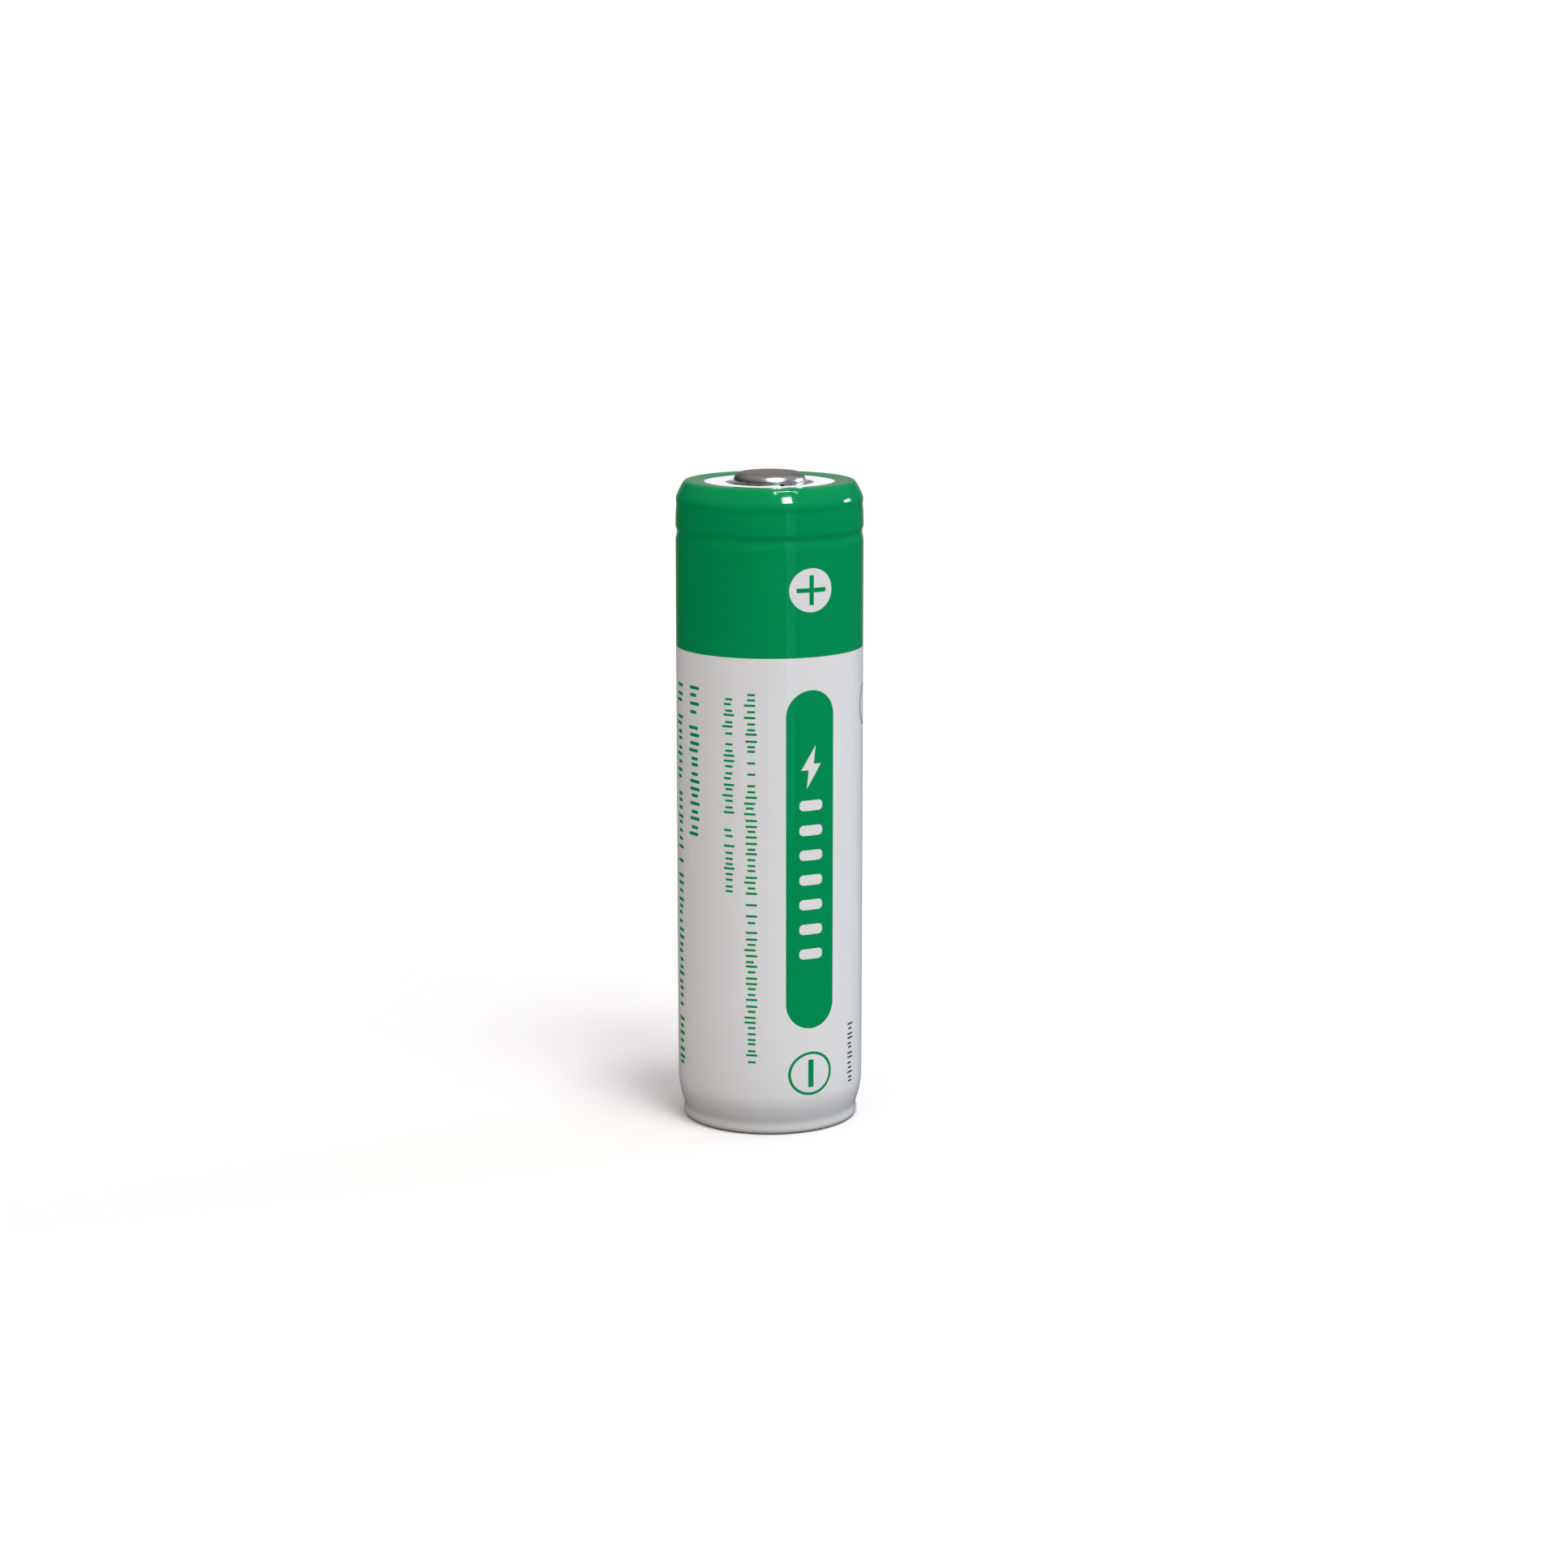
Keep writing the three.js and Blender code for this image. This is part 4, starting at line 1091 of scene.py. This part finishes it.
fired = ((0.010, 0.011, 0.020), (0.030, 0.032, 0.050))
ceramic = ((0.36, 0.24, 0.14), (0.50, 0.35, 0.21))
resistor_x = middle_mm("resistor_supply").x
resistor = tinned("thick_film", *fired, lambda f: beyond(abs(abs(f.x) - resistor_x), BARE_HALF))
capacitor = tinned("ceramic_stack", *ceramic, lambda f: beyond(abs(f.x), BARE_HALF))
for name, node, material, slot in (
    ("sense_resistor", "resistor_sense", resistor, "resistor"),
    ("supply_resistor", "resistor_supply", resistor, "resistor"),
    ("filter_capacitor", "capacitor_filter", capacitor, "capacitor"),
    ("bypass_capacitor", "capacitor_bypass", capacitor, "capacitor"),
):
    finished(end_capped(name, node), material, slot, node)


# ---- Stage and light ----

FLOOR_SIZE = 30


def toward(azimuth, elevation):
    """A unit vector. Azimuth 0 points from the cell to the camera and 90 to the camera's right."""
    a, e = math.radians(azimuth), math.radians(elevation)
    return Vector((math.sin(a) * math.cos(e), -math.cos(a) * math.cos(e), math.sin(e)))


def lamp(name, kind, azimuth, elevation, distance, tint):
    data = bpy.data.lights.new(name, kind)
    data.color = tint
    light = bpy.data.objects.new(name, data)
    back = toward(azimuth, elevation)
    light.location = Vector((0, 0, TOP / 2 * MM)) + back * distance
    light.rotation_mode = "QUATERNION"
    light.rotation_quaternion = (-back).to_track_quat("-Z", "Y")
    bpy.context.scene.collection.objects.link(light)
    return light


def broad_light(name, azimuth, elevation, spread, strength, tint=(1, 1, 1)):
    """Even light from far away, which doesn't show in reflections."""
    light = lamp(name, "SUN", azimuth, elevation, 1, tint)
    light.data.angle = math.radians(spread)
    light.data.energy = strength
    light.visible_glossy = False


def softbox(name, azimuth, elevation, wide, tall, radiance, tint=(1, 1, 1), distance=1.2):
    """A panel that shows only in reflections. Its angles are in degrees, as seen from the cell."""
    light = lamp(name, "AREA", azimuth, elevation, distance, tint)
    light.data.shape = "RECTANGLE"
    light.data.size = 2 * distance * math.tan(math.radians(wide / 2))
    light.data.size_y = 2 * distance * math.tan(math.radians(tall / 2))
    light.data.energy = radiance * light.data.size * light.data.size_y * math.pi
    light.visible_diffuse = False
    light.visible_camera = False


def studio():
    """White walls for the camera, soft light on matt surfaces and a dim room in reflections."""
    surroundings = bpy.data.worlds.new("studio")
    bpy.context.scene.world = surroundings
    surroundings.use_nodes = True
    tree = surroundings.node_tree
    tree.nodes.clear()
    path = added(tree, "LightPath").outputs
    direction = added(tree, "TexCoord").outputs["Generated"]
    x, y, z = (Num(tree, part) for part in added(tree, "SeparateXYZ", {0: direction}).outputs)
    right = x.scaled(0.5, 0.5, clamp=True)
    behind = y.scaled(7, -6, clamp=True)
    above = z.scaled(2.2, -0.55, clamp=True)
    soft = mixed(tree, right, (0.62, 0.58, 0.53), (0.585, 0.605, 0.69))
    low = mixed(tree, right.apply("POWER", 3), (0.02, 0.018, 0.016), (0.05, 0.12, 0.22))
    front = mixed(tree, above, low, (0.36, 0.345, 0.33))
    mirrored = mixed(tree, behind, front, (0.30, 0.29, 0.285))
    unseen = mixed(tree, path["Is Glossy Ray"], soft, mirrored)
    seen = mixed(tree, path["Is Camera Ray"], unseen, (1.05, 1.05, 1.05))
    added(tree, "OutputWorld", {"Surface": added(tree, "Background", {"Color": seen}).outputs[0]})


def floor():
    """A matt white table top that throws back little light and isn't in reflections. Near the cell it throws
    back none, which paints contact shade on the cell's foot.
    """
    bm = bmesh.new()
    bmesh.ops.create_grid(bm, x_segments=1, y_segments=1, size=FLOOR_SIZE / 2)
    table = new_piece("floor", bm)
    finish = Finish("white_table", roughness=0.9, specular=0)
    camera_ray = finish.add("LightPath").outputs["Is Camera Ray"]
    distance = hypotenuse(finish.x, finish.y)
    # Painted contact shade: the light thrown back is nothing within 10.5 mm of the axis and rises to full at
    # 20.5 mm, so the cell's foot stays dark.
    bounce_with_painted_contact_shade = (distance - 10.5).apply("MULTIPLY", 0.1, clamp=True) * 0.52
    white = finish.mix(finish.noise(0.02), (0.90, 0.893, 0.88), (0.91, 0.903, 0.89))
    grey = finish.vector(bounce_with_painted_contact_shade, bounce_with_painted_contact_shade, bounce_with_painted_contact_shade)
    finish.set("Base Color", finish.mix(camera_ray, grey, white))
    table.data.materials.append(finish.material)
    table.visible_glossy = False


studio()
floor()
bpy.context.scene.view_settings.view_transform = "Standard"
broad_light("top", 45, 78, 12, 0.82)
broad_light("key", 28, 61, 18, 0.78)
broad_light("fill", 38, 12, 60, 0.60)
broad_light("far_right", 117, 14, 10, 0.26, (0.85, 0.93, 1.25))
softbox("front_panel", 26.5, 44, 9.5, 8.5, 120)
softbox("high_panel", 30.5, 63, 14, 5, 80)
softbox("left_tick", 10, 57, 2, 10, 75)
softbox("right_tick", 47, 55, 2, 10, 75)
softbox("right_panel", 114, 15, 12, 7, 80, (0.8, 0.95, 1.1))
softbox("front_strip", 26, 8, 10, 40, 1.2, (0.15, 1, 1.2), distance=0.3)
softbox("front_strip_edge", 21, 8, 1.2, 40, 3.2, (0.15, 1, 1.1), distance=0.3)
